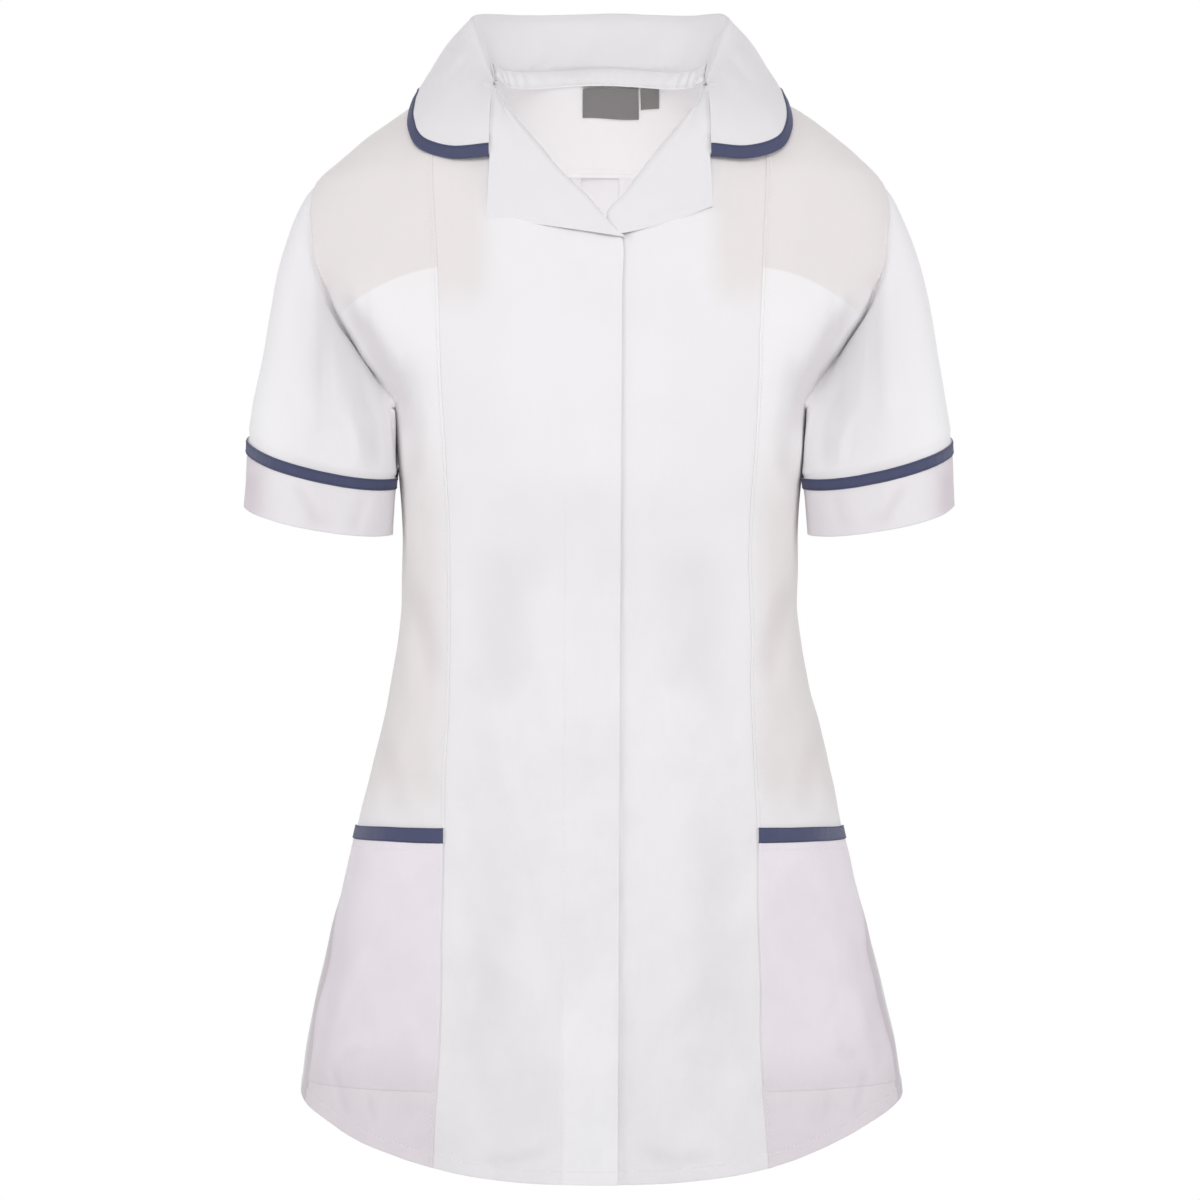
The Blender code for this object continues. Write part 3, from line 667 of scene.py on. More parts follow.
def centre_front(side):
    starts, ends = EDGE_STEPS, UNDER_STEPS[::-1]
    rows = []
    for z, level in lower_rows():
        start, end = front_edge(side, z), princess_distance(z)

        def path(t):
            angle = front_angle(blend(start, end, t), z)
            return angle, level(angle, z) + 0 * t

        rows.append(path_columns(path, starts, ends, FRONT_COLUMNS))
    for k, (x0, z0) in zip(UPPER, upper_edge(side)):
        angle1, height1 = princess_up(k / UPPER_ROWS)
        x1 = on_form(angle1, height1)[0]
        ridge = smooth(k - 9)

        def path(t):
            x, z = blend(x0, x1, t), blend(z0, height1, t)
            angle = blend(front_angle(x, z), SIDE_ANGLE, ridge)
            return angle, blend(z, blend(0.0, top_height, t), ridge)

        rows.append(path_columns(path, starts, ends, FRONT_COLUMNS))
    points, normals, angle, height, from_edge, to_seam = laid_out(tucked(rows))
    high = height - hem_height(angle)
    out = under_out(to_seam) + hem_out(high, from_edge)
    out = out - 0.3 * MM * (1 - smooth(from_edge / MM / 0.8))
    out = sunk(out, (0.25, 0.6, 1, 1, 1, 1), 1.0 * MM)
    across = points[..., 0]
    if side == LEFT:
        under = 1 - smooth((across - STEP_START) / STEP_OUT)
        out = out - UNDER_DEPTH * under * smooth((-90 * MM - height) / (20 * MM))
    else:
        below = smooth((FACING_TOP - height) / (330 * MM))
        line = from_edge - FACING
        out = out + below * MM * (
            0.12 * (1 - smooth(line / MM + 0.5)) - 0.22 * bump(line / MM, 0, 0.5)
            + puckers(height / MM, line / MM, 11, 0.1, 5)
        )  # fmt: skip
    warm_shade, facing = warm_shade_mask(across, height), 0 * across
    if side == RIGHT:
        facing = 1 - smooth((from_edge - FACING) / MM + 0.5)
        facing = facing * smooth((-560 * MM - height) / (70 * MM))
    marks = {"double_and_lit": facing, "shade": 0.6 * bump(to_seam / MM, 0.1, 0.4), "warm_shade": warm_shade}
    fields = (from_edge, to_seam, high)
    return sew_side(
        side, "centre_front_{}", "front_{}", points, normals, out, marks=marks, fields=fields
    )


body_pieces = [centre_front(side) for side in (RIGHT, LEFT)]


# %% [markdown]
# ## The side fronts
#
# A side front fills the space between the princess seam, the side seam and the
# armhole. Its turned edge makes the band of the princess seam.

# %% Side fronts
def side_path(start, end):
    def path(t):
        return blend(start[0], end[0], t), blend(start[1], end[1], t)

    return path


def side_front(side):
    starts, ends = BAND_STEPS, BAND_STEPS[::-1]
    rows, arm = [], []
    for z, level in lower_rows():
        start = front_angle(princess_distance(z), z)
        path = level_path(start, np.radians(side_seam_degrees(z)), z, level)
        rows.append(path_columns(path, starts, ends, SIDE_COLUMNS))
        arm.append(0.0)
    for k in UPPER:
        end = armhole(2 * math.pi * (UPPER_ROWS - k) / ARM_STEPS)
        path = side_path(princess_up(k / UPPER_ROWS), end)
        rows.append(path_columns(path, starts, ends, SIDE_COLUMNS))
        arm.append(float(smooth(k)))
    arm = np.array(arm + [1.0] * len(TUCKED))[:, None]
    points, normals, angle, height, from_seam, to_side = laid_out(tucked(rows))
    high = height - hem_height(angle)
    out = band_out(from_seam, height) + hem_out(high, points[..., 0])
    out = out + arm * band_out(to_side, height * 1.1 + 0.02)
    plain = -0.35 * MM * (1 - smooth(to_side / MM / 1.6))
    out = out + (1 - arm) * plain
    out = sunk(out, (0.25, 0.6, 1, 1, 1, 1), 1.0 * MM)
    marks = {
        "chest": np.ones_like(high), "shade": bump(to_side / MM, 0, 1.2) * 0.8,
        "warm_shade": warm_shade_mask(points[..., 0], height), "shade_tint": shade_tint_mask(height, to_side),
    }  # fmt: skip
    fields = (from_seam, to_side, high)
    return sew_side(
        side, "side_front_{}_cloth", "side_front_{}", points, normals, out,
        marks=marks, fields=fields,
    )  # fmt: skip


body_pieces += [side_front(side) for side in (RIGHT, LEFT)]

# %% [markdown]
# ## The yoke and the back
#
# The yoke lies over both shoulders and is stitched down twice on the back, which has a
# box pleat down its middle so that the wearer can reach forward. The pleat is folded
# from the back's own cloth, so its layers are part of one sheet.


# %% Yoke
NECK_FULLNESS = 2.3
SHOULDER_COLUMNS = 34
YOKE_TURN = -2 * math.pi * YOKE_STEP / ARM_STEPS
OUTER_LINE, INNER_LINE = 6.5, 3  # the yoke's lines of stitches, in mm above its edge


def yoke_seam_height(angle):
    end = math.pi - armhole(YOKE_TURN)[0]
    share = np.minimum(1, np.abs(math.pi - angle) / end)
    return blend(YOKE_CENTRE, YOKE_SIDE, share**2)


def neck_plan(turn):
    """The neck seam seen from above, behind the shoulders."""
    bend = 2 / NECK_FULLNESS
    return 68 * MM * power(np.cos(turn), bend), 56.5 * MM * power(np.sin(turn), bend)


def mirrored_half(half):
    return np.concatenate([half, half[:, -2::-1] * (OTHER_SIDE if half.ndim == 3 else 1)], 1)


def yoke(name, lining=False):
    seam = [(SIDE_ANGLE, z) for z in np.linspace(SHOULDER_TIP, 0, SHOULDER_COLUMNS)]
    for turn in np.linspace(0, SIDE_ANGLE, 26)[1:]:
        x, y = neck_plan(turn)
        z = dropped_height(x, y)
        seam.append((float(back_angle(x, z)), z))
    share = np.concatenate([BAND_STEPS / (75 * MM), np.linspace(0.12, 0.93, 24), [0.97, 0.985, 1]])
    angle, height = np.zeros((2, len(share), len(seam)))
    tip = armhole(YOKE_TURN * (1 - share))
    lower = 0.5 * MM if lining else 0.0
    for j, (a, z) in enumerate(seam):
        x = on_form(a, z)[0]
        foot = YOKE_SIDE
        for _ in range(12):
            foot = yoke_seam_height(back_angle(x, foot))
        angle[:, j] = blend(back_angle(x, foot), a, share)
        height[:, j] = blend(foot - lower, z, share)
        if j == 0:
            bow = tip[0] - angle[:, 0], tip[1] - height[:, 0]
        near = 1 - smooth(j / 7)
        angle[:, j] += bow[0] * near
        height[:, j] += bow[1] * near
    points, normals = on_form(angle, height), outward(angle, height)
    drop = np.linalg.norm(points - points[:1], axis=2)
    edge = np.linalg.norm(points - points[-1:], axis=2)
    along = points[..., 0]
    outer = bump(drop / MM, OUTER_LINE, 0.5)
    if lining:
        out = -2.2 * MM + 1.4 * MM * (1 - smooth(edge / MM / 9))
        out = out + 0.15 * MM * (outer + bump(drop / MM, INNER_LINE, 0.5))
        out = out + puckers(along / MM, drop / MM - INNER_LINE, 7.7, 0.14, 5) * MM
    else:
        arm = np.linalg.norm(points - points[:, :1], axis=2)
        out = band_out(drop, along) - 0.12 * MM * outer
        out = out + band_out(arm, height) * (drop > 0.002) + 0.25 * MM
        shoulder = np.arange(len(seam))[None, :] < SHOULDER_COLUMNS
        out = out - 0.35 * MM * (1 - smooth(edge / MM / 1.2)) * shoulder
    points, normals, out, drop = (mirrored_half(g) for g in (points, normals, out, drop))
    points = creased(points, normals, out, 0.5)
    marks = {"double_and_lit": np.full(points.shape[:2], 1.0 if lining else 0.7)}
    facing = normals * (-1 if lining else 1)
    return sew(name, "back_yoke", points, facing, fields=(drop,), marks=marks)


body_pieces += [yoke("yoke"), yoke("yoke_lining", lining=True)]


# %% Back
# The pleat's path, in mm: distance from the centre and how far out.
PLEAT = ((24, 0), (22.5, 0), (16.4, 0), (14.4, 0.1), (13.4, 0.45), (14.4, 0.8), (18, 0.85),
         (21.6, 0.85), (22.7, 1.25), (21.6, 1.65), (18, 1.7), (13, 1.7), (8, 1.7), (4, 1.7),
         (0, 1.7))  # fmt: skip


def back():
    rows = []
    for z, level in lower_rows():
        rows.append((np.radians(side_seam_degrees(z)), float(z), z, level, 0.0))
    for k in np.linspace(UPPER_ROWS, ARM_STEPS - YOKE_STEP, ARM_ROWS)[1:]:
        a, z = armhole(2 * math.pi * k / ARM_STEPS)
        rows.append((a, z, z, None, (z - UNDERARM) / (YOKE_SIDE - UNDERARM)))
    rows += [(a, z + more * MM, z, None, 1 + more * 1e-3) for more in TUCKED]
    made = []
    for a0, z0, z, level, share in rows:
        top = max(0.0, share - 1) * 1000 * MM
        share = min(share, 1.0)

        def height_at(angle):
            if level:
                return level(angle, z) + 0 * angle
            up = UNDERARM + (yoke_seam_height(angle) - UNDERARM) * share
            return blend(z, up, share) + top

        inner = back_angle(PLEAT[0][0] * MM, height_at(np.array(math.pi)))

        def path(t):
            angle = blend(a0, inner, t)
            height = height_at(angle)
            near = (1 - smooth(t / 0.2)) * smooth(share * 5)
            return angle, height + (z0 - height_at(np.array(a0))) * near

        made.append(path_columns(path, UNDER_STEPS, np.array([2.0, 0.0]) * MM, BACK_COLUMNS))
    points, normals, angle, height, from_side, _ = laid_out(made)
    arm = np.array([min(1.0, row[4] * 8) for row in rows])[:, None]
    out = under_out(from_side) * (1 - arm) + arm * band_out(np.maximum(0, from_side), height)
    out = out + hem_out(height - hem_height(angle), points[..., 0])
    centre_height = height[:, -1]
    points, normals, outs = [points], [normals], [out]
    for across, lift in PLEAT[1:]:
        a = back_angle(across * MM, centre_height)
        points.append(on_form(a, centre_height)[:, None])
        normals.append(outward(a, centre_height)[:, None])
        outs.append((hem_out(centre_height - hem_height(a), across * MM) + lift * MM)[:, None])
    points, normals, out = (np.concatenate(v, 1) for v in (points, normals, outs))
    out = sunk(out, (0.3, 0.8, 1, 1, 1), 1.1 * MM) - CLOTH / 2
    points, normals, out = (mirrored_half(g) for g in (points, normals, out))
    points = creased(points, normals, out)
    away = np.concatenate([from_side, np.full((len(rows), len(PLEAT) - 1), 1.0)], 1)
    away, level = mirrored_half(away), points[..., 2] / MM
    # painted shade beside the side seams, low down, where the back turns from the light
    shade_tint = smooth((-520 - level) / 60) * smooth(1.6 - away / (16 * MM))
    marks = {"shade": bump(away / MM, 0, 1) + 1.6 * shade_tint, "shade_tint": shade_tint}
    return sew("back_cloth", "back", points, normals, offset=0.0, marks=marks)


body_pieces.append(back())

# %% [markdown]
# ## The sleeves and cuffs
#
# A short sleeve is a tube set into the armhole. Its end is turned back into a cuff,
# whose top edge is covered by a strip of blue twill. The cuff is one sheet that goes
# down the outside, over the fold and up the inside.

# %% Sleeves
# centre, outwards and forwards, in mm, of the sleeve's end and of the cuff's
RINGS = (
    ((182.6, 4, -253.2), (52.8, 0, 12.2), (0, -56, -12)),
    ((186.3, 5, -295.5), (52.2, 0, 9), (0, -57, -9)),
)
AROUND, FLATTENED, BODY_CLEAR = 120, 0.45, 2.5 * MM
PUFF_OUT, PUFF_ALONG, PUFF_FRONT = 8.5 * MM, 3 * MM, 6.5 * MM
TURN = np.linspace(0, 2 * math.pi, AROUND + 1)  # round the arm, from the outside forward


def ring_points(centre, outwards, forwards):
    """A ring round the arm. In front, next to the body, it turns in a sharp fold."""
    centre, outwards, forwards = (np.array(v) * MM for v in (centre, outwards, forwards))
    c, s = np.cos(TURN), np.sin(TURN)
    fold = (c < 0) & (s > 0)
    over = np.maximum(np.where(fold, power(c, FLATTENED), c), -0.95)
    ahead = np.where(fold, power(s, FLATTENED), s)
    ring = centre + outwards * over[:, None] + forwards * ahead[:, None]
    ring[:, 2] += np.where(fold, forwards[2] * (np.sqrt(1 - over**2) - ahead), 0)
    sideways = np.minimum(np.abs(ring[:, 1]) / front_depth(ring[:, 2]), 0.99)
    body = half_width(ring[:, 2]) * (1 - sideways**FULLNESS) ** (1 / FULLNESS)
    ring[:, 0] += 5 * MM * bump(TURN, 3.3, 0.45)
    ring[:, 0] = np.maximum(ring[:, 0], body + BODY_CLEAR)
    return ring


SLEEVE_END, CUFF_END = (ring_points(*ring) for ring in RINGS)
ring_steps = np.gradient(CUFF_END, axis=0)
ring_steps[0] = ring_steps[-1] = CUFF_END[1] - CUFF_END[-2]
RING_OUT = unit(np.cross(ring_steps, [0, 0, -1.0]))


def crossed(points):
    """Directions straight out of a closed tube of points."""
    across = np.roll(points[:, :-1], -1, 1) - np.roll(points[:, :-1], 1, 1)
    across = np.concatenate([across, across[:, :1]], 1)
    return unit(np.cross(across, np.gradient(points, axis=0)))


def sleeve(side):
    full_out = PUFF_OUT * np.maximum(0, np.cos(TURN)) + PUFF_ALONG * np.abs(np.sin(TURN))
    full_front = np.array([0.35, -1, 0]) * PUFF_FRONT * bump(TURN, 2.2, 0.5)[:, None]
    grid, upright = [], []
    for wider, depth in ((4.5, 1.1), (3, 1.1), (1.5, 1.1), (0, 0.8)):
        a, z = armhole(TURN, wider * MM)
        upright.append(outward(a, z))
        grid.append(on_form(a, z) - upright[-1] * depth * MM)
    start = grid.pop()
    for t in np.concatenate([[0, 0.006, 0.014, 0.025], np.linspace(0.04, 1.02, 74)]):
        lift = full_out * math.sin(math.pi * min(t, 1) ** 0.62)
        grid.append(blend(start, SLEEVE_END, t) + RING_OUT * lift[:, None])
        grid[-1] += full_front * math.sin(math.pi * min(t, 1) ** 0.65)
    points = np.array(grid)
    upright = np.array(upright + upright[-1:] * (len(points) - 4))
    row = np.arange(len(points))[:, None] * np.ones((1, AROUND + 1))
    near = smooth(1 - (row - 4) / 7)[..., None]
    normals = unit(blend(crossed(points), upright, near))
    rise = 0.9 * smooth(row / 5 - 0.6) - 1.1 * smooth((row - len(points) + 6) / 3)
    marks = {
        # painted light: the sleeve's outer side is made lighter with the double tone
        "shade": 0.5 * bump(row, 3, 1.2), "double_and_lit": smooth((points[..., 0] / MM - 200) / 22),
        "trough": troughs(points) * smooth((row - 8) / 18),
    }  # fmt: skip
    return sew_side(
        side, "sleeve_{}_cloth", "sleeve_{}", points, normals, rise * MM, marks=marks, ring=True
    )


sleeves = [sleeve(side) for side in (RIGHT, LEFT)]


# %% Cuffs and their trims
CUFF_OUT, CUFF_WALL, TRIM_WIDTH = 0.8 * MM, 0.15 * MM, 8.2 * MM
CUFF_OUTSIDE, CUFF_FOLD, CUFF_INSIDE = 20, 8, 14  # rows


def cuff_ring(share, out, drop=0.0):
    ring = blend(SLEEVE_END - 0.6 * MM * UP, CUFF_END, share) + RING_OUT * out
    return ring - drop * UP


def cuff(side):
    rows = [cuff_ring(share, CUFF_OUT) for share in np.linspace(0, 0.97, CUFF_OUTSIDE)]
    for t in np.linspace(0.1, math.pi - 0.1, CUFF_FOLD):
        out = CUFF_OUT * math.cos(t) - CUFF_WALL * (1 - math.cos(t)) / 2
        rows.append(cuff_ring(0.985, out, CUFF_OUT * math.sin(t)))
    for share in np.linspace(0.97, 0.02, CUFF_INSIDE):
        rows.append(cuff_ring(share, -CUFF_OUT - CUFF_WALL))
    points, row = np.array(rows), np.arange(len(rows))[:, None] * np.ones((1, AROUND + 1))
    rest = CUFF_OUTSIDE + CUFF_FOLD + CUFF_INSIDE - row
    low = np.where(row < CUFF_OUTSIDE, np.minimum(1, row / 16), np.maximum(0, rest / 22))
    ripple = 0.5 * np.sin(TURN * 5 + 1) + 0.4 * np.sin(TURN * 9 + 2.4)
    marks = {
        "shade": 0.4 * (row > CUFF_OUTSIDE + CUFF_FOLD / 2),
        # the whole cuff is tinted a little greyer, and painted shade darkens its outer end
        "shade_tint": 0.28 + 0.7 * smooth((points[..., 0] / MM - 210) / 26),
    }
    return sew_side(
        side, "cuff_{}_cloth", "cuff_{}", points, np.tile(RING_OUT, (len(rows), 1, 1)),
        low * ripple * MM, marks=marks, held="folded", thickness=0.5 * MM, ring=True,
    )  # fmt: skip


def cuff_trim(side):
    reach = TRIM_WIDTH / np.linalg.norm(CUFF_END - SLEEVE_END, axis=1).mean()
    profile = (
        (-0.02, 0.35), (0, 0.75), (0.06, 0.9), (0.14, 0.95), (0.3, 0.95), (0.5, 0.95),
        (0.7, 0.95), (0.86, 0.95), (0.94, 0.9), (1, 0.7), (1.02, 0.3),
    )  # fmt: skip
    points = np.array([cuff_ring(p * reach, CUFF_OUT + out * MM) for p, out in profile])
    out = np.tile(puckers(TURN * 52, 0 * TURN, 8, 0.12) * MM, (len(profile), 1))
    return sew_side(
        side, "cuff_trim_{}_twill", "cuff_trim_{}", points,
        np.tile(RING_OUT, (len(profile), 1, 1)), out, held="laid", thickness=0.5 * MM,
        rests_on=["cuff_{}_cloth"], ring=True,
    )  # fmt: skip


cuffs = [cuff(side) for side in (RIGHT, LEFT)]
trims = [cuff_trim(side) for side in (RIGHT, LEFT)]


# %% [markdown]
# ## The pockets
#
# Each hip pocket is a patch on the side front, from seam to seam, with a strip of blue
# twill along its mouth. It is one more sheet, a cloth's thickness further out.

# %% Pockets
# Height at the princess seam and at the side seam, in mm.
POCKET_FOOT, TRIM_FOOT, POCKET_MOUTH = (-664, -666), (-506.7, -508.5), (-496.8, -500)


def pocket_grid(low, high, rows, step_out, inset):
    """A patch on the side front between two lines; low and high are pairs in mm."""
    grid = []
    for share in rows:
        z0, z1 = (blend(low[k], high[k], share) * MM for k in (0, 1))
        start = (front_angle(princess_distance(z0), z0), z0)
        end = (np.radians(side_seam_degrees(z1)), z1)
        starts = EDGE_STEPS + inset
        path = side_path(start, end)
        grid.append(path_columns(path, starts, starts[::-1], POCKET_COLUMNS))
    points, normals, _, height, from_seam, to_side = laid_out(grid)
    edge = np.minimum(from_seam, to_side) - inset
    out = step_out - 0.25 * MM * (1 - smooth(edge / MM / 0.8))
    return points, normals, out, from_seam, to_side, height


def pocket_gape(from_seam):
    """The mouth stands open a little in its middle."""
    return 0.9 * MM * np.sin(math.pi * np.clip(from_seam / (80 * MM), 0, 1))


def pocket(side):
    rows = np.concatenate([[0, 0.002, 0.006, 0.012, 0.02, 0.03], np.linspace(0.045, 1, 58)])
    points, normals, out, from_seam, to_side, height = pocket_grid(
        POCKET_FOOT, POCKET_MOUTH, rows, 1.1 * MM, 0.6 * MM
    )
    high = (height - height[:1]) / MM
    outer = np.minimum(high, to_side / MM)
    out = out - 0.25 * MM * (1 - smooth(high / 0.8)) - 0.2 * MM * bump(high, 2.4, 0.5)
    out = out - 0.42 * MM * (1 - smooth(outer / 9))
    mouth = (height[-1:] - height) / MM
    out = out + puckers(from_seam / MM, mouth - 10, 7.2, 0.28, 7) * MM
    out = out + pocket_gape(from_seam) * np.exp(-mouth / 25)
    # painted shade beside the side seam, and greyer towards the pocket's foot
    shade_tint = 0.6 * shade_tint_mask(height, to_side) * smooth(1 - to_side / (30 * MM))
    shade_tint = np.maximum(shade_tint, 0.95 * smooth(1 - high / 32))
    return sew_side(
        side, "pocket_{}_cloth", "pocket_{}", points, normals, out, marks={"shade_tint": shade_tint},
        held="laid", rests_on=["side_front_{}_cloth"], thickness=0.5 * MM,
    )  # fmt: skip


def pocket_trim(side):
    rows = np.array([0, 0.05, 0.12, 0.3, 0.5, 0.7, 0.88, 0.95, 1])
    drops = np.array([0.5, 0.12, 0, 0, 0, 0, 0, 0.12, 0.5]) * MM
    points, normals, out, from_seam, *_ = pocket_grid(
        TRIM_FOOT, POCKET_MOUTH, rows, 1.65 * MM, 0.5 * MM
    )
    out = out - drops[:, None] + puckers(from_seam / MM, 0 * from_seam, 7.2, 0.1, 7) * MM
    out = out + pocket_gape(from_seam)
    return sew_side(
        side, "pocket_trim_{}_twill", "pocket_trim_{}", points, normals, out,
        held="laid", rests_on=["pocket_{}_cloth"], thickness=0.5 * MM,
    )  # fmt: skip


pockets = [pocket(side) for side in (RIGHT, LEFT)]
trims += [pocket_trim(side) for side in (RIGHT, LEFT)]


# %% [markdown]
# ## The collar
#
# The collar stands up from the neck seam, rolls over and falls to a rounded edge,
# which is bound with blue twill. A few stations with the shape of that path are enough
# to describe it, and a smooth curve through them in both directions gives the sheet.

# %% Collar shape
COLLAR_FRONT = (
    # along, edge_x, edge_y, roll radius, bulge
    (0, 120, 0, 3, 4), (0.25, 122, -27, 3, 4), (0.5, 124, -53, 2.6, 5.5),
    (0.7, 116.3, -66.4, 2.2, 8), (0.85, 96, -75.4, 1.8, 8.5), (1, 71.6, -79.2, 1.4, 9),
)  # fmt: skip
FOLD_BACK, FOLD_SIDE, FOLD_END = (75, 54), (86, 37), (70, -48.5, -8.5)
COLLAR_EDGE, COLLAR_BACK_STEPS, COLLAR_CLEAR = (120, 82), 6, 3.1 * MM


def form_point(x, y):
    z = dropped_height(x, y)
    a = float(front_angle(x, z)) if y < 0 else float(back_angle(x, z))
    return a, z


def collar_stations():
    found = []
    for k in range(COLLAR_BACK_STEPS, 0, -1):
        turn = SIDE_ANGLE * k / COLLAR_BACK_STEPS
        c, s = (float(power(v, 2 / NECK_FULLNESS)) for v in (math.cos(turn), math.sin(turn)))
        x, y = neck_plan(turn)
        seam = np.array([x, y, dropped_height(x, y)])
        rise = blend(FOLD_SIDE[1], FOLD_BACK[1], 0.71 * s + 0.29 * min(1, s * 3.2))
        fold = np.array([FOLD_SIDE[0] * c, FOLD_BACK[0] * s, rise])
        edge = form_point(COLLAR_EDGE[0] * c * MM, COLLAR_EDGE[1] * s * MM)
        found.append((seam, fold * MM, edge, 3 * MM, 4 * MM))
    side_fold = np.array([FOLD_SIDE[0], 0, FOLD_SIDE[1]])
    for along, edge_x, edge_y, radius, bulge in COLLAR_FRONT:
        x, y = blend(68, 67.5, along**2) * MM, -47 * along * MM
        seam = np.array([x, y, dropped_height(x, y)])
        fold = blend(side_fold, np.array(FOLD_END), along) * MM
        edge = form_point(edge_x * MM, edge_y * MM - 1e-6)
        found.append((seam, fold, edge, radius * MM, bulge * MM))
    return found


def collar_line(seam, fold, edge_spot, radius, bulge):
    """One station's path, from the neck seam over the fold to the free edge."""
    a = (front_angle if seam[1] < 0 else back_angle)(seam[0], seam[2])
    level = outward(a, seam[2]) * 0.6 * MM
    base = seam - level * np.array([1, 1, 0]) + UP * 0.6 * MM
    edge = on_form(*edge_spot) + outward(*edge_spot) * COLLAR_CLEAR
    out = unit((edge - base) * np.array([1, 1, 0]))
    centre = fold - UP * radius
    rise = np.linalg.norm(centre - base)
    strip = blend(base, centre - out * radius, min(0.6, 11 * MM / rise))
    path = [base, strip, centre - out * radius, fold, centre + out * radius]
    start, chord = path[-1], edge - path[-1]
    lift = unit(UP - chord * (UP @ chord / (chord @ chord)))
    handle = (start + edge) / 2 + lift * 2 * bulge
    last = 1 - TRIM_WIDTH / (np.linalg.norm(chord) + bulge)
    for t in (0.2, 0.43, 0.66, last, 1):
        path.append(start * (1 - t) ** 2 + handle * 2 * t * (1 - t) + edge * t * t)
    return path


def refined(grid, down, over):
    """A finer grid through the points of a coarse one, by real distances."""
    def places(g):
        steps = np.linalg.norm(np.diff(g, axis=0), axis=2).mean(1)
        return np.concatenate([[0], np.cumsum(steps)])

    rows = places(grid)
    grid = spline(grid, rows, down(rows))
    columns = places(grid.transpose(1, 0, 2))
    return spline(grid.transpose(1, 0, 2), columns, over(columns)).transpose(1, 0, 2)


def evenly(step, ends=()):
    """Places from 0 to the full length about a step apart, closer at the ends."""
    def places(at):
        ends_mm = np.array(ends) * MM
        start = ends_mm if len(ends_mm) else np.array([0.0])
        middle = np.linspace(start[-1], at[-1] - start[-1], max(3, round(at[-1] / step)))
        return np.concatenate([start, middle[1:-1], at[-1] - start[::-1]])

    return places


half_collar = [collar_line(*station) for station in collar_stations()]
other_collar = [[p * OTHER_SIDE for p in line] for line in half_collar[:0:-1]]
coarse_collar = np.array(other_collar + half_collar).transpose(1, 0, 2)
print("collar from", coarse_collar.shape[1], "stations of", coarse_collar.shape[0], "points")

# %% Collar cloth
# Creases of the collar as distances along it and down from the neck seam, in mm, seen
# flat: 0 along is the centre back.
COLLAR_FOLDS = [
    (((-70, 8), (-60, 16), (-52, 30)), 5, -1.1),
    (((-58, 6), (-50, 14), (-44, 22)), 3.5, 0.9),
    (((66, 8), (58, 18), (54, 30)), 5, -1.0),
    (((-20, 16), (-10, 30), (4, 40)), 8, -0.7),
    (((34, 14), (26, 28), (30, 42)), 8, 0.7),
    (((-132, 58), (-146, 70), (-158, 84)), 9, -2.0),
    (((132, 60), (147, 70), (158, 82)), 9, -1.9),
    (((-172, 66), (-180, 82), (-186, 96)), 5, -1.1),
    (((174, 64), (181, 80), (186, 95)), 5, -1.1),
    (((-192, 60), (-196, 80), (-199, 100)), 4, 0.9),
    (((190, 62), (195, 80), (199, 98)), 4, 0.8),
    (((-100, 70), (-96, 90), (-104, 108)), 10, -1.0),
    (((98, 72), (102, 92), (96, 108)), 10, -1.0),
    (((-30, 78), (-24, 96), (-32, 112)), 11, -1.2),
    (((28, 80), (34, 98), (26, 112)), 11, -1.1),
]


def fold_rows(at):
    """Rows 1 mm apart at the roll and the free edge, wider elsewhere."""
    roll = np.arange(at[2] - 4 * MM, at[4] + 6 * MM, 0.9 * MM)
    before = np.linspace(0, roll[0], 20)[:-1]
    after = np.linspace(roll[-1], at[-1] - 3 * MM, 34)[1:]
    edge = at[-1] - np.array([2, 1.2, 0.6, 0.2, 0]) * MM
    return np.concatenate([before, roll, after, edge])


collar_mid = refined(coarse_collar, fold_rows, evenly(2.6 * MM, (0, 0.4, 1, 2, 3.4)))
collar_over, collar_down = measure(collar_mid)


def softened(points, reach, share):
    """Points drawn towards the mean of their neighbours along each row."""
    places = collar_over[:, None] - collar_over[None, :]
    weight = np.exp(-((places / reach) ** 2))
    room = np.minimum(collar_over, collar_over[-1] - collar_over)
    weight = weight * (np.abs(places) <= room[:, None] + 1e-9)
    weight /= weight.sum(1, keepdims=True)
    return blend(points, np.einsum("kj,ijc->ikc", weight, points), share[:, None, None])


rolled = smooth(collar_down / MM / 34) * (1 - smooth((collar_down / MM - 70) / 40))
collar_mid = softened(collar_mid, 9 * MM, rolled)
collar_over = collar_over - collar_over[-1] / 2


def grid_normals(points):
    return unit(np.cross(np.gradient(points, axis=1), np.gradient(points, axis=0)))


def collar_surface():
    normals = grid_normals(collar_mid)
    along, down = np.meshgrid(collar_over / MM, collar_down / MM)
    lift = fold_height(along, down, COLLAR_FOLDS) + waves(along, down * 1.3, 0.45)
    lift = lift * smooth(down / 14) * smooth((collar_down[-1] / MM + 3 - down) / 9)
    end = np.minimum(along - along.min(), along.max() - along)
    lift = lift - 0.25 * (1 - smooth(end / 1.0)) - 0.18 * bump(end, 5.2, 0.5)
    gather = puckers(along, down - 11, 6.1, 0.25, 5) * (0.4 + 0.6 * np.exp(-np.abs(along) / 60))
    lift = lift + gather + puckers(along, collar_down[-1] / MM - 9 - down, 10, 0.22, 5)
    return collar_mid + normals * (lift * MM)[..., None]


collar_points = collar_surface()
collar_normals = grid_normals(collar_points)
low_down = smooth((collar_down / MM - 80) / 34)[:, None] * np.ones(len(collar_over))
collar = sew(
    "collar_cloth", "collar", collar_points, collar_normals, "folded",
    thickness=1.0 * MM, offset=0.0, marks={"shade": 0.65 + 0.35 * low_down},
)  # fmt: skip


# %% Collar binding and neck strip
BINDING_OUT = 1.05 * MM


def offset_rows(at, out):
    """Rows of the collar's sheet at distances down it, lifted off by out."""
    normals = unit(spline(collar_normals, collar_down, at))
    return spline(collar_points, collar_down, at) + normals * out


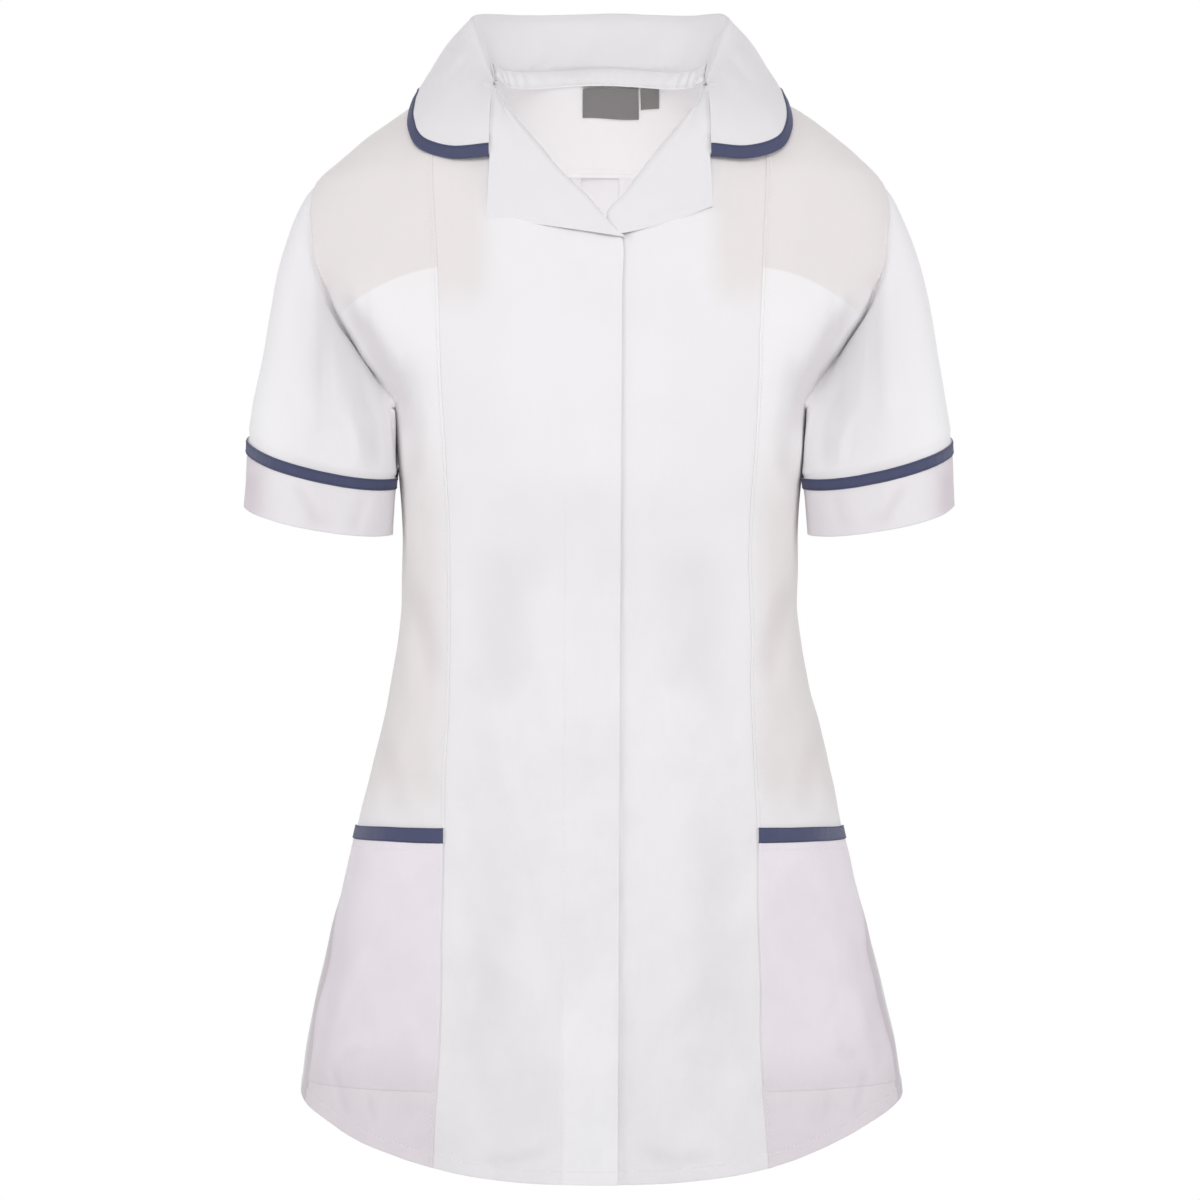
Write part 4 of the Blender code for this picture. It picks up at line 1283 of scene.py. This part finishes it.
def collar_binding():
    full = collar_down[-1]
    edge = unit(collar_points[-1] - collar_points[-3])
    top_at = full - TRIM_WIDTH + np.array([0.4, 0.6, 1, 1.8, 3.2, 4.4, 5.6, 6.8, 7.6, 8.2]) * MM
    lifts = [0.55 * MM, 0.85 * MM, 1.0 * MM] + [BINDING_OUT] * 7
    rows = [offset_rows(np.array([a]), lift)[0] for a, lift in zip(top_at, lifts)]
    for turn in np.linspace(0, math.pi, 9)[1:]:
        lift, over = math.cos(turn) * BINDING_OUT, math.sin(turn) * BINDING_OUT
        rows.append(collar_points[-1] + collar_normals[-1] * lift + edge * over)
    for a in (7.8, 6, 4, 2, 1):
        rows.append(offset_rows(np.array([full - TRIM_WIDTH + a * MM]), -BINDING_OUT)[0])
    points = np.array(rows)
    return sew(
        "collar_trim_twill", "collar_trim", points, grid_normals(points), "folded",
        rests_on=["collar_cloth"], thickness=0.45 * MM,
    )  # fmt: skip


def neck_strip():
    at = np.array([0, 0.3, 1, 2.2, 4, 6, 7.8, 9.6, 11, 12, 12.6, 13, 13.4]) * MM
    lifts = [1.0, 1.4, 1.6, 1.5, 1.8, 2.0, 2.0, 1.95, 1.8, 1.5, 1.65, 1.4, 0.9]
    along = (collar_over / MM)[None, :]
    middle = bump(at / MM, 6.6, 4)[:, None]
    gather = np.sin(along / 0.95 + 2 * np.sin(along / 9)) * 0.2 * (0.5 + 0.5 * np.sin(along / 31))
    gather = gather + 0.34 * np.sin(along / 2.6 + 1.5 * np.sin(along / 17))
    ends = smooth((np.abs(along) - 66) / 22)
    gather = gather * (1 + 0.8 * ends) + ends * 0.3 * np.sin(along / 3.1 + np.sin(along / 7))
    low = blend(-2.6, -5.4, smooth(np.abs(collar_over) / (84 * MM))) * MM
    down = unit(collar_points[0] - collar_points[2])
    points, normals = [], []
    for j, start in enumerate(low):
        place = at + start
        on = np.maximum(place, 0)
        line = spline(collar_points[:, j], collar_down, on)
        points.append(line - np.minimum(place, 0)[:, None] * down[j])
        normals.append(spline(collar_normals[:, j], collar_down, on))
    points, normals = (np.array(g).transpose(1, 0, 2) for g in (points, normals))
    lift = (np.array(lifts)[:, None] + gather * (0.3 + middle)) * MM
    points = (points + unit(normals) * lift[..., None])[:, 4:-4]
    return sew(
        "neck_strip_cloth", "neck_strip", points, grid_normals(points), "gathered",
        rests_on=["collar_cloth"], thickness=0.45 * MM,
    )  # fmt: skip


trims.append(collar_binding())
strip = neck_strip()

# %% [markdown]
# ## The reveres
#
# At the top the fronts turn outwards into two flat reveres. Each starts behind the
# front's edge, rolls over it and lies on the chest, with a crisp sewn edge.

# %% Reveres
REVERE_ROLL = 4.2 * MM
UNDER_COLLAR = 5  # mm that a revere runs on beneath the collar
REVERES = {
    # roll_x, roll_z, edge_x, edge_z, share of the roll, lift of the free edge
    RIGHT: ((-14.8, -116.6, 73.2, -103.4, 0.14, 0.6), (-2.3, -104.6, 72.6, -92, 0.75, 1.4),
            (11, -89.4, 72, -80, 1, 1.7), (25, -75.9, 71.2, -68, 1, 2.4),
            (38.8, -59, 70.2, -55, 1, 5.7), (53, -41.6, 69, -41, 1, 8.4),
            (62.2, -28, 67.6, -27, 0.8, 7.4), (68.5, -16, 71, -15.5, 0.5, 5.5)),
    LEFT: ((9, -115.2, 72.4, -96.4, 0.1, 0.7), (6.2, -101.5, 72.2, -87, 0.45, 1.4),
           (18, -87.8, 71.8, -77, 0.9, 1.7), (27, -75.4, 71, -66, 1, 2.4),
           (39.8, -59, 70.2, -54, 1, 5.7), (53, -41.6, 69, -41, 1, 8.4),
           (62.2, -28, 67.6, -27, 0.8, 7.4), (68.5, -16, 71, -15.5, 0.5, 5.5)),
}  # fmt: skip
REVERE_FOLDS = [
    (((30, -70), (44, -74), (60, -72)), 6, -0.7),
    (((10, -98), (34, -96), (58, -100)), 8, 0.5),
    (((44, -50), (50, -66), (58, -80)), 6, 0.6),
]


def revere(side):
    grid = []
    for roll_x, roll_z, edge_x, edge_z, roll, lift in REVERES[side]:
        start, end = np.array([roll_x, roll_z]) * MM, np.array([edge_x, edge_z]) * MM
        width = np.linalg.norm(end - start)
        go = (end - start) / width
        high = REVERE_ROLL * roll
        profile = (
            (-1.3 * MM, -0.6 * roll * MM),
            (-1.3 * MM - 0.28 * high, 0.3 * high),
            (-0.25 * high, 0.85 * high),
            (0.06 * width, 1.05 * high + 0.2 * lift * MM),
            (0.3 * width, blend(high, lift * MM, 0.35) + 0.3 * MM),
            (0.65 * width, blend(high, lift * MM, 0.8)),
            (width, lift * MM),
        )
        row = []
        for across, out in profile:
            x, z = start + go * across
            if roll == 0.1:  # the lower edge of the under one sags
                z -= 10 * MM * (across / width) * max(0, 1 - across / width)
            a = front_angle(x, z)
            row.append(on_form(a, z) + outward(a, z) * out)
        grid.append(row)
    points = refined(
        np.array(grid), evenly(1.8 * MM, (0, 0.3, 0.8, 1.6)), evenly(1.6 * MM, (0, 0.3, 0.8, 1.6))
    )
    over, _ = measure(points)
    tuck = smooth(1 - (over[-1] - over) / (4 * MM))[None, :]
    tuck = tuck * smooth((points[..., 2] / MM + 62) / 7)
    below = 1.3 + 1.8 * smooth((-46 - points[..., 2] / MM) / 5)
    move = np.stack([UNDER_COLLAR + 0 * below, below, 0 * below], -1) * MM
    points = points + tuck[..., None] * move
    (points,) = turned(side, points)
    normals = grid_normals(points)
    over, down = measure(points)
    x = np.abs(points[..., 0]) / MM
    lift = fold_height(x, points[..., 2] / MM, REVERE_FOLDS) + waves(x, points[..., 2] / MM, 0.3)
    free = over[-1] - over if side == LEFT else over
    free = free[None, :] * np.ones((len(points), 1))
    low = down[:, None] * np.ones_like(free)
    edge = np.minimum(free, low) / MM
    lift = lift * smooth(edge / 5) - 0.25 * (1 - smooth(edge / 0.9))
    if side == LEFT:  # the lower edge of the under one curls up a little
        lift = lift + 1.2 * (1 - smooth(low / MM / 16)) * smooth((x - 22) / 14)
    points = points + normals * (lift * MM)[..., None]
    word, marks = WORDS[side], {"shade": np.full_like(lift, 0.7)}
    return sew(
        f"revere_{word}_cloth", f"revere_{word}", points, normals, "folded",
        rests_on=[f"centre_front_{word}"], thickness=0.8 * MM, offset=0.0, marks=marks,
    )  # fmt: skip


reveres = [revere(side) for side in (RIGHT, LEFT)]

# %% [markdown]
# ## The tags
#
# Two short lengths of grey woven tape hang under the neck strip. They are left bare.

# %% Tags
TAGS = {"neck_label": (-12, 27, 3.1, -16.4, -2.0), "size_tab": (28.5, 41, 2.8, -10.6, 1.0)}


def tag(name):
    left, right, top, bottom, tilt = TAGS[name]
    x = np.linspace(left, right, 40)[None, :]
    z = np.linspace(bottom, top, 24)[:, None]
    x, z = np.broadcast_arrays(x, z)
    z = z + (x - (left + right) / 2) * math.tan(math.radians(tilt)) * smooth((top - z) / 8)
    a = back_angle(x * MM, z * MM)
    points, normals = on_form(a, z * MM), outward(a, z * MM)
    hang = 0.25 * np.sin((x - left) / 5.1) * smooth((top - z) / 10)
    curl = 0.7 * smooth((left + 3 - x) / 4) - 0.5 * smooth((top - z) / 14)
    low = -4.1 + hang - curl * 0.6
    points = creased(points, normals, low * MM, 0.5)
    how = {"rests_on": ["yoke_lining"], "thickness": 0.4 * MM, "offset": 0.0}
    return sew(f"{name}_tape", name, points, normals, **how)


tags = [tag(name) for name in TAGS]

# %% [markdown]
# ## Stitching
#
# A stitch is a short length of thread that dips into the cloth at both ends. One is
# modelled as a small flattened ball and copied along every stitched line. A dashed
# texture would be lighter, but it would cast no shadow and would show no relief.

# %% One stitch
STITCH_LENGTH, STITCH_STEP, THREAD = 2.1 * MM, 3.0 * MM, 0.24 * MM
deselect()
bpy.ops.mesh.primitive_uv_sphere_add(segments=6, ring_count=4, radius=1)
one_stitch = bpy.context.active_object
stitch_points = np.array([v.co for v in one_stitch.data.vertices])
stitch_points = stitch_points[:, [2, 1, 0]] * np.array([STITCH_LENGTH / 2, -THREAD, THREAD])


def from_lowest(corners):
    """The same face from its lowest corner, since the ball's own order changes each run."""
    first = corners.index(min(corners))
    return corners[first:] + corners[:first]


stitch_faces = sorted(from_lowest(tuple(f.vertices)) for f in one_stitch.data.polygons)
bpy.data.objects.remove(one_stitch, do_unlink=True)
print("a stitch has", len(stitch_points), "points and", len(stitch_faces), "faces")


# %% Lines of stitches
def line_down(grids, field, value):
    """The line on which a field that changes across the rows has a value."""
    points, normals = grids
    if field[0, 0] > field[0, -1]:
        points, normals, field = points[:, ::-1], normals[:, ::-1], field[:, ::-1]
    lines = []
    for grid in (points, normals):
        rows = [[np.interp(value, f, g[:, k]) for k in range(3)] for f, g in zip(field, grid)]
        lines.append(np.array(rows))
    return lines


def line_across(grids, field, value):
    """The same, for a field that changes from row to row."""
    points, normals = (g.transpose(1, 0, 2) for g in grids)
    return line_down((points, normals), field.T, value)


def stitches_on(line, normals, lift=0.1 * MM, step=STITCH_STEP):
    """Copies of the stitch along a line."""
    along = lengths(line)
    at = np.arange(step / 2, along[-1] - step / 2, step)
    if not len(at):
        return np.zeros((0, len(stitch_points), 3))

    def read(values, where):
        return np.stack([np.interp(where, along, v) for v in values.T], -1)

    centre, up = read(line, at), unit(read(normals, at))
    go = unit(read(line, at + step / 3) - read(line, at - step / 3))
    side = unit(np.cross(up, go))
    axes = np.stack([go, side, np.cross(go, side)], 1)
    return np.einsum("pk,nkc->npc", stitch_points, axes) + (centre + up * lift)[:, None]


def thread_piece(name, lines):
    """One piece of all the stitches of one colour."""
    points = np.concatenate(lines)
    count, each = len(points), len(stitch_points)
    faces = [tuple(i + n * each for i in f) for n in range(count) for f in stitch_faces]
    mesh = bpy.data.meshes.new(name)
    mesh.from_pydata(points.reshape(-1, 3).tolist(), [], faces)
    mesh.shade_smooth()
    piece = bpy.data.objects.new(name, mesh)
    bpy.context.scene.collection.objects.link(piece)
    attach(piece, "root")
    print(name, count, "stitches")
    return piece


# %% Where the stitches run
FROM_EDGE, HEM_LINE = 2.2 * MM, 8.4 * MM
white_lines, blue_lines = [], []


def stitch_along(lines, line, part=slice(None), **how):
    lines.append(stitches_on(line[0][part], line[1][part], **how))


def stitch_rows(lines, name, rows):
    points, normals = STITCHED[name]
    for k in rows:
        stitch_along(lines, (points[k], normals[k]))


for side in (RIGHT, LEFT):
    word = WORDS[side]
    *grids, from_seam, to_side, high = STITCHED[f"side_front_{word}_cloth"]
    stitch_along(white_lines, line_down(grids, from_seam, FROM_EDGE), slice(12, -4))
    arm = slice(len(HEM_STEPS) + len(LOWER) + len(MIDDLE), -4)
    stitch_along(white_lines, line_down(grids, to_side, FROM_EDGE), arm)
    stitch_along(white_lines, line_across(grids, high, HEM_LINE))
    *grids, from_edge, _, high = STITCHED[f"centre_front_{word}"]
    inner = slice(None, -10) if side == LEFT else slice(10, None)
    stitch_along(white_lines, line_across(grids, high, HEM_LINE), inner)
    if side == RIGHT:
        line = line_down(grids, from_edge, FACING)
        stitch_along(white_lines, line, line[0][:, 2] < FACING_TOP, lift=0.0)
    stitch_rows(white_lines, f"pocket_{word}_cloth", (-6,))
    stitch_rows(blue_lines, f"pocket_trim_{word}_twill", (1, -2))
    stitch_rows(blue_lines, f"cuff_trim_{word}_twill", (3, -4))
for name, first, off in (("yoke", FROM_EDGE, 0), ("yoke_lining", INNER_LINE * MM, 0.55 * MM)):
    *grids, drop = STITCHED[name]
    for away in (first, OUTER_LINE * MM):
        line, up = line_across(grids, drop, away)
        stitch_along(white_lines, (line + up * off, up))
stitch_rows(white_lines, "neck_strip_cloth", (2, -5))
stitch_rows(blue_lines, "collar_trim_twill", (3,))
threads = [thread_piece("white_stitches", white_lines)]
blue_threads = [thread_piece("blue_stitches", blue_lines)]

# %% [markdown]
# ## Finishes
#
# A finish is a board of nodes. Sums on it read best as sums, so a small class wraps one
# output of a node and adds the maths nodes when it is used with + or *.


# %% The node board
class Wire:
    """One output on a board, which can be used in sums."""

    def __init__(self, board, output):
        self.board, self.output = board, output

    def __add__(self, other):
        return self.board.maths("ADD", self, other)

    def __sub__(self, other):
        return self.board.maths("SUBTRACT", self, other)

    def __rsub__(self, other):
        return self.board.maths("SUBTRACT", other, self)

    def __mul__(self, other):
        return self.board.maths("MULTIPLY", self, other)

    def clamped(self):
        return self.board.node("ShaderNodeClamp", {}, {0: self})

    def beside(self, key):
        """Another output of the same node."""
        return Wire(self.board, self.output.node.outputs[key])

    __radd__, __rmul__ = __add__, __mul__


class Board:
    """The nodes of one finish, or of the surroundings."""

    def __init__(self, name, world=None):
        self.finish = world or bpy.data.materials.new(name)
        self.finish.use_nodes = True
        tree = self.finish.node_tree
        self.nodes, self.links = tree.nodes, tree.links
        self.shader = self.nodes["Background" if world else "Principled BSDF"]

    def node(self, kind, settings, sockets, output=0):
        made = self.nodes.new(kind)
        for key, value in settings.items():
            setattr(made, key, value)
        for key, value in sockets.items():
            self.feed(made.inputs[key], value)
        return Wire(self, made.outputs[output])

    def maths(self, kind, *values):
        return self.node("ShaderNodeMath", {"operation": kind}, dict(enumerate(values)))

    def flat(self):
        """A place on the cloth as it was cut."""
        return self.node("ShaderNodeUVMap", {"uv_map": "UVMap"}, {})

    def place(self):
        """A place on the finished piece."""
        return self.node("ShaderNodeTexCoord", {}, {}, output=3)

    def mark(self, name):
        return self.node("ShaderNodeAttribute", {"attribute_name": name}, {}, output=2)

    def feed(self, socket, value):
        if isinstance(value, Wire):
            self.links.new(value.output, socket)
        else:
            socket.default_value = value

    def shine(self, **sockets):
        for key, value in sockets.items():
            self.feed(self.shader.inputs[key.replace("_", " ")], value)

    def mix(self, factor, a, b, kind="MIX"):
        made = self.nodes.new("ShaderNodeMix")
        made.data_type, made.blend_type = "RGBA", kind
        for index, value in ((0, factor), (6, a), (7, b)):
            if not isinstance(value, Wire) and index:
                value = (*value, 1)
            self.feed(made.inputs[index], value)
        return Wire(self, made.outputs[2])

    def noise(self, place, scale, detail=2.0, stretch=(1, 1, 1)):
        mapped = self.node("ShaderNodeMapping", {}, {"Vector": place, "Scale": stretch})
        sockets = {"Vector": mapped, "Scale": scale, "Detail": detail}
        return self.node("ShaderNodeTexNoise", {}, sockets)

    def weave(self, place, pitch, diagonal=False):
        """Threads over and under one another, from -1 to 1."""
        apart = self.node("ShaderNodeSeparateXYZ", {}, {0: place})
        u, v = (wire * (2 * math.pi / pitch) for wire in (apart, apart.beside(1)))
        if diagonal:
            return self.maths("SINE", u + v * 0.62)
        return self.maths("SINE", u) * self.maths("SINE", v)

    def bump(self, height, strength, distance):
        return self.node(
            "ShaderNodeBump", {}, {"Height": height, "Strength": strength, "Distance": distance}
        )


# %% [markdown]
# The white is a plain weave of fine threads, some thicker than others. It looks whiter
# where it lies double, and a little darker in the seams. Its colour also holds painted
# light and shade: lighter on the sleeves' outer sides, and painted shade at the sides,
# towards the hem, in folds, in seams and in soft clouds. The blue is a twill, with
# slanting ribs. Both are matt, with the faint glow at grazing angles of short fibres.

# %% White cloth, pocket cloth, twill, tape and thread
# the warm white is painted shade, the tone of the sides turned from the light
WHITE, WHITE_DOUBLE_AND_LIT, WHITE_WARM_SHADE = (0.80, 0.784, 0.803), (0.84, 0.828, 0.843), (0.755, 0.715, 0.717)
# the dim colour is painted shade, for the sides and seams turned from the light
POCKET, SHADE_TINT = (0.79, 0.742, 0.792), (0.68, 0.626, 0.67)
BLUE, BLUE_DARK = (0.09, 0.098, 0.182), (0.058, 0.064, 0.128)
BLUE_THREAD = (0.03, 0.035, 0.09)
GREY = (0.216, 0.206, 0.208)
MARKS = ("double_and_lit", "shade", "warm_shade", "chest", "shade_tint", "trough")


def lighter(colour, times):
    return tuple(v * times for v in colour)


def white_finish(name, single, double_and_lit):
    board = Board(name)
    flat, place = board.flat(), board.place()
    doubled_and_lit, shade, warm_shade, chest, shade_tint, trough = (board.mark(mark) for mark in MARKS)
    apart = board.node("ShaderNodeSeparateXYZ", {}, {0: place})
    across = board.maths("ABSOLUTE", apart) * 1000
    height = apart.beside(2) * 1000
    # a second layer lies inside the chest, up to a curved edge
    off = board.maths("MAXIMUM", across - 92, 0) * 0.0137
    edge = (height + 134 + off * off * 24) * -0.6
    layer = edge.clamped() * ((height + 290) * 0.02).clamped() * chest
    slub = board.noise(flat, 900, 1.0, (1, 0.06, 1)) + board.noise(flat, 900, 1.0, (0.06, 1, 1))
    cloud, patch = board.noise(place, 9, 3.0, (1, 1, 0.55)), board.noise(place, 34, 3.0)
    # painted shade: the warm grey tint of the waist's sides and the shoulders
    # whiter where the cloth lies double, and painted light on the sleeves' outer sides
    tone = board.mix(doubled_and_lit, board.mix(warm_shade, single, WHITE_WARM_SHADE), double_and_lit)
    tone = board.mix(layer * 0.75, tone, double_and_lit)
    # painted shade: a little darker towards the hem, where less light falls
    lower = (height * -0.0026 - 0.86).clamped()
    tone = board.mix(lower, tone, (0.93, 0.93, 0.93), "MULTIPLY")
    # painted shade: greyer at the sides, beside the side seams and at the cuffs' outer ends
    tone = board.mix(shade_tint, tone, SHADE_TINT)
    # painted shade: soft darker clouds, stronger lower down, for the shading of small crumples
    strength = (height * -0.006 - 2.0).clamped() * 0.85 + 0.15
    mottled_shade = (cloud * 1.5 + patch - 1.15).clamped() * strength
    # painted shade multiplied in: the clouds, the fold hollows, and the shade mark of seams, cuffs,
    # collar and reveres; the slubs are thicker threads
    for share, darker in (
        (mottled_shade, (0.89, 0.89, 0.89)), (trough, (0.86, 0.84, 0.85)),
        ((slub - 0.9) * 0.25, (0.95, 0.95, 0.95)), (shade * 0.2, (0.6, 0.6, 0.6)),
    ):  # fmt: skip
        tone = board.mix(share, tone, darker, "MULTIPLY")
    threads = board.weave(flat, 0.5 * MM) * 0.5 + slub * 0.6 + board.noise(place, 90, 2.0) * 0.9
    board.shine(Base_Color=tone, Roughness=0.82, Normal=board.bump(threads, 0.35, 0.12 * MM))
    board.shine(Sheen_Weight=0.12, Sheen_Roughness=0.5, Specular_IOR_Level=0.25)
    return board.finish


def twill_finish():
    board = Board("blue twill")
    ribs = board.weave(board.flat(), 0.75 * MM, diagonal=True)
    worn = board.noise(board.place(), 160, 3.0)
    tone = board.mix(ribs * 0.35 + worn * 0.5, BLUE_DARK, BLUE)
    board.shine(Base_Color=tone, Roughness=0.78)
    board.shine(Normal=board.bump(ribs + worn * 0.8, 0.5, 0.16 * MM))
    board.shine(Sheen_Weight=0.2, Sheen_Roughness=0.4, Specular_IOR_Level=0.3)
    return board.finish


def tape_finish():
    board = Board("grey tape")
    flat = board.flat()
    threads = board.weave(flat, 0.42 * MM) + board.noise(flat, 700, 1.0, (1, 0.1, 1))
    tone = board.mix(threads * 0.3 + 0.3, lighter(GREY, 0.85), lighter(GREY, 1.1))
    board.shine(Base_Color=tone, Roughness=0.6, Normal=board.bump(threads, 0.4, 0.12 * MM))
    board.shine(Specular_IOR_Level=0.35)
    return board.finish


def thread_finish(name, colour):
    board = Board(name)
    tone = board.mix(board.noise(board.place(), 400), lighter(colour, 0.88), colour)
    board.shine(Base_Color=tone, Roughness=0.55)
    return board.finish


def dress(pieces, material):
    for piece in pieces:
        piece.data.materials.clear()
        piece.data.materials.append(material)


white = white_finish("white cloth", WHITE, WHITE_DOUBLE_AND_LIT)
pocket_white = white_finish("pocket cloth", POCKET, POCKET)
blue = twill_finish()
grey = tape_finish()
dress(body_pieces + sleeves + cuffs + [collar, strip] + reveres, white)
dress(pockets, pocket_white)
dress(trims, blue)
dress(tags, grey)
dress(threads, thread_finish("white thread", WHITE_DOUBLE_AND_LIT))
dress(blue_threads, thread_finish("blue thread", BLUE_THREAD))

# %% [markdown]
# ## Light, floor and camera
#
# A white garment shows its folds in soft light that comes mostly from the front and a
# little from above. The surroundings are white to the camera, and dimmer as a light.

# %% Floor
FLOOR_DROP = 0.66
deselect()
bpy.ops.mesh.primitive_circle_add(
    vertices=96, radius=3.0, fill_type="NGON", location=(0, 0, cad_low[2] - FLOOR_DROP)
)
floor = bpy.context.active_object
floor.name = "floor"
bpy.ops.object.transform_apply(location=True)
board = Board("pale floor")
board.shine(Base_Color=(0.8, 0.8, 0.8, 1), Roughness=0.9)
floor.data.materials.append(board.finish)
floor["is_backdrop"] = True

# %% Lights
AMBIENT = 0.5
world = bpy.data.worlds.new("surroundings")
bpy.context.scene.world = world
board = Board("surroundings", world)
rays = board.node("ShaderNodeLightPath", {}, {})
seen = board.maths("MAXIMUM", rays.beside("Is Camera Ray"), rays.beside("Is Glossy Ray"))
seen = board.maths("MAXIMUM", seen, rays.beside("Is Transmission Ray"))
level = board.node("ShaderNodeMapRange", {}, {"Value": seen, "To Min": AMBIENT, "To Max": 1.0})
board.shine(Color=(1, 1, 1, 1), Strength=level)


def lamp(name, place, target, size, watts):
    deselect()
    bpy.ops.object.light_add(type="AREA", location=place)
    made = bpy.context.active_object
    made.name = name
    made.data.shape = "RECTANGLE"
    made.data.size, made.data.size_y = size
    made.data.energy = watts
    made.rotation_euler = (Vector(target) - Vector(place)).to_track_quat("-Z", "Y").to_euler()
    return made


lamp("key", (0.0, -2.5, 0.9), (0, 0, -0.25), (1.5, 1.0), 22)
lamp("low lamp", (0.0, -2.6, -1.0), (0, 0, -0.3), (1.5, 0.8), 6)
for side in (RIGHT, LEFT):
    lamp(f"side lamp {WORDS[side]}", (side * 2.4, -1.0, 0.3), (0, 0, -0.25), (0.9, 1.4), 19)
lamp("back lamp", (0.0, 2.7, 0.9), (0, 0, -0.3), (2.6, 1.6), 34)
inner = lamp("lamp inside the neck", (0, -0.066, -0.14), (0, 0.07, -0.082), (0.12, 0.04), 0.162)
inner.data.color = (1, 0.985, 0.97)
inner.visible_camera = False

# %% Camera
VIEW_DISTANCE, VIEW_HEIGHT, VIEW_WIDTH = 2.4, -0.350, 0.804
deselect()
bpy.ops.object.camera_add(location=(0, -VIEW_DISTANCE, VIEW_HEIGHT), rotation=(math.pi / 2, 0, 0))
camera = bpy.context.active_object
camera.data.sensor_width = 36
camera.data.lens = 36 * VIEW_DISTANCE / VIEW_WIDTH
camera.data.clip_end = 50
bpy.context.scene.camera = camera
bpy.context.scene.view_settings.view_transform = "Standard"

# %% Finish
low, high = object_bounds()
triangles = sum(
    len(p.data.polygons) * 2 for p in bpy.context.scene.objects
    if p.type == "MESH" and p.visible_get()
)  # fmt: skip
print("about", triangles, "triangles")
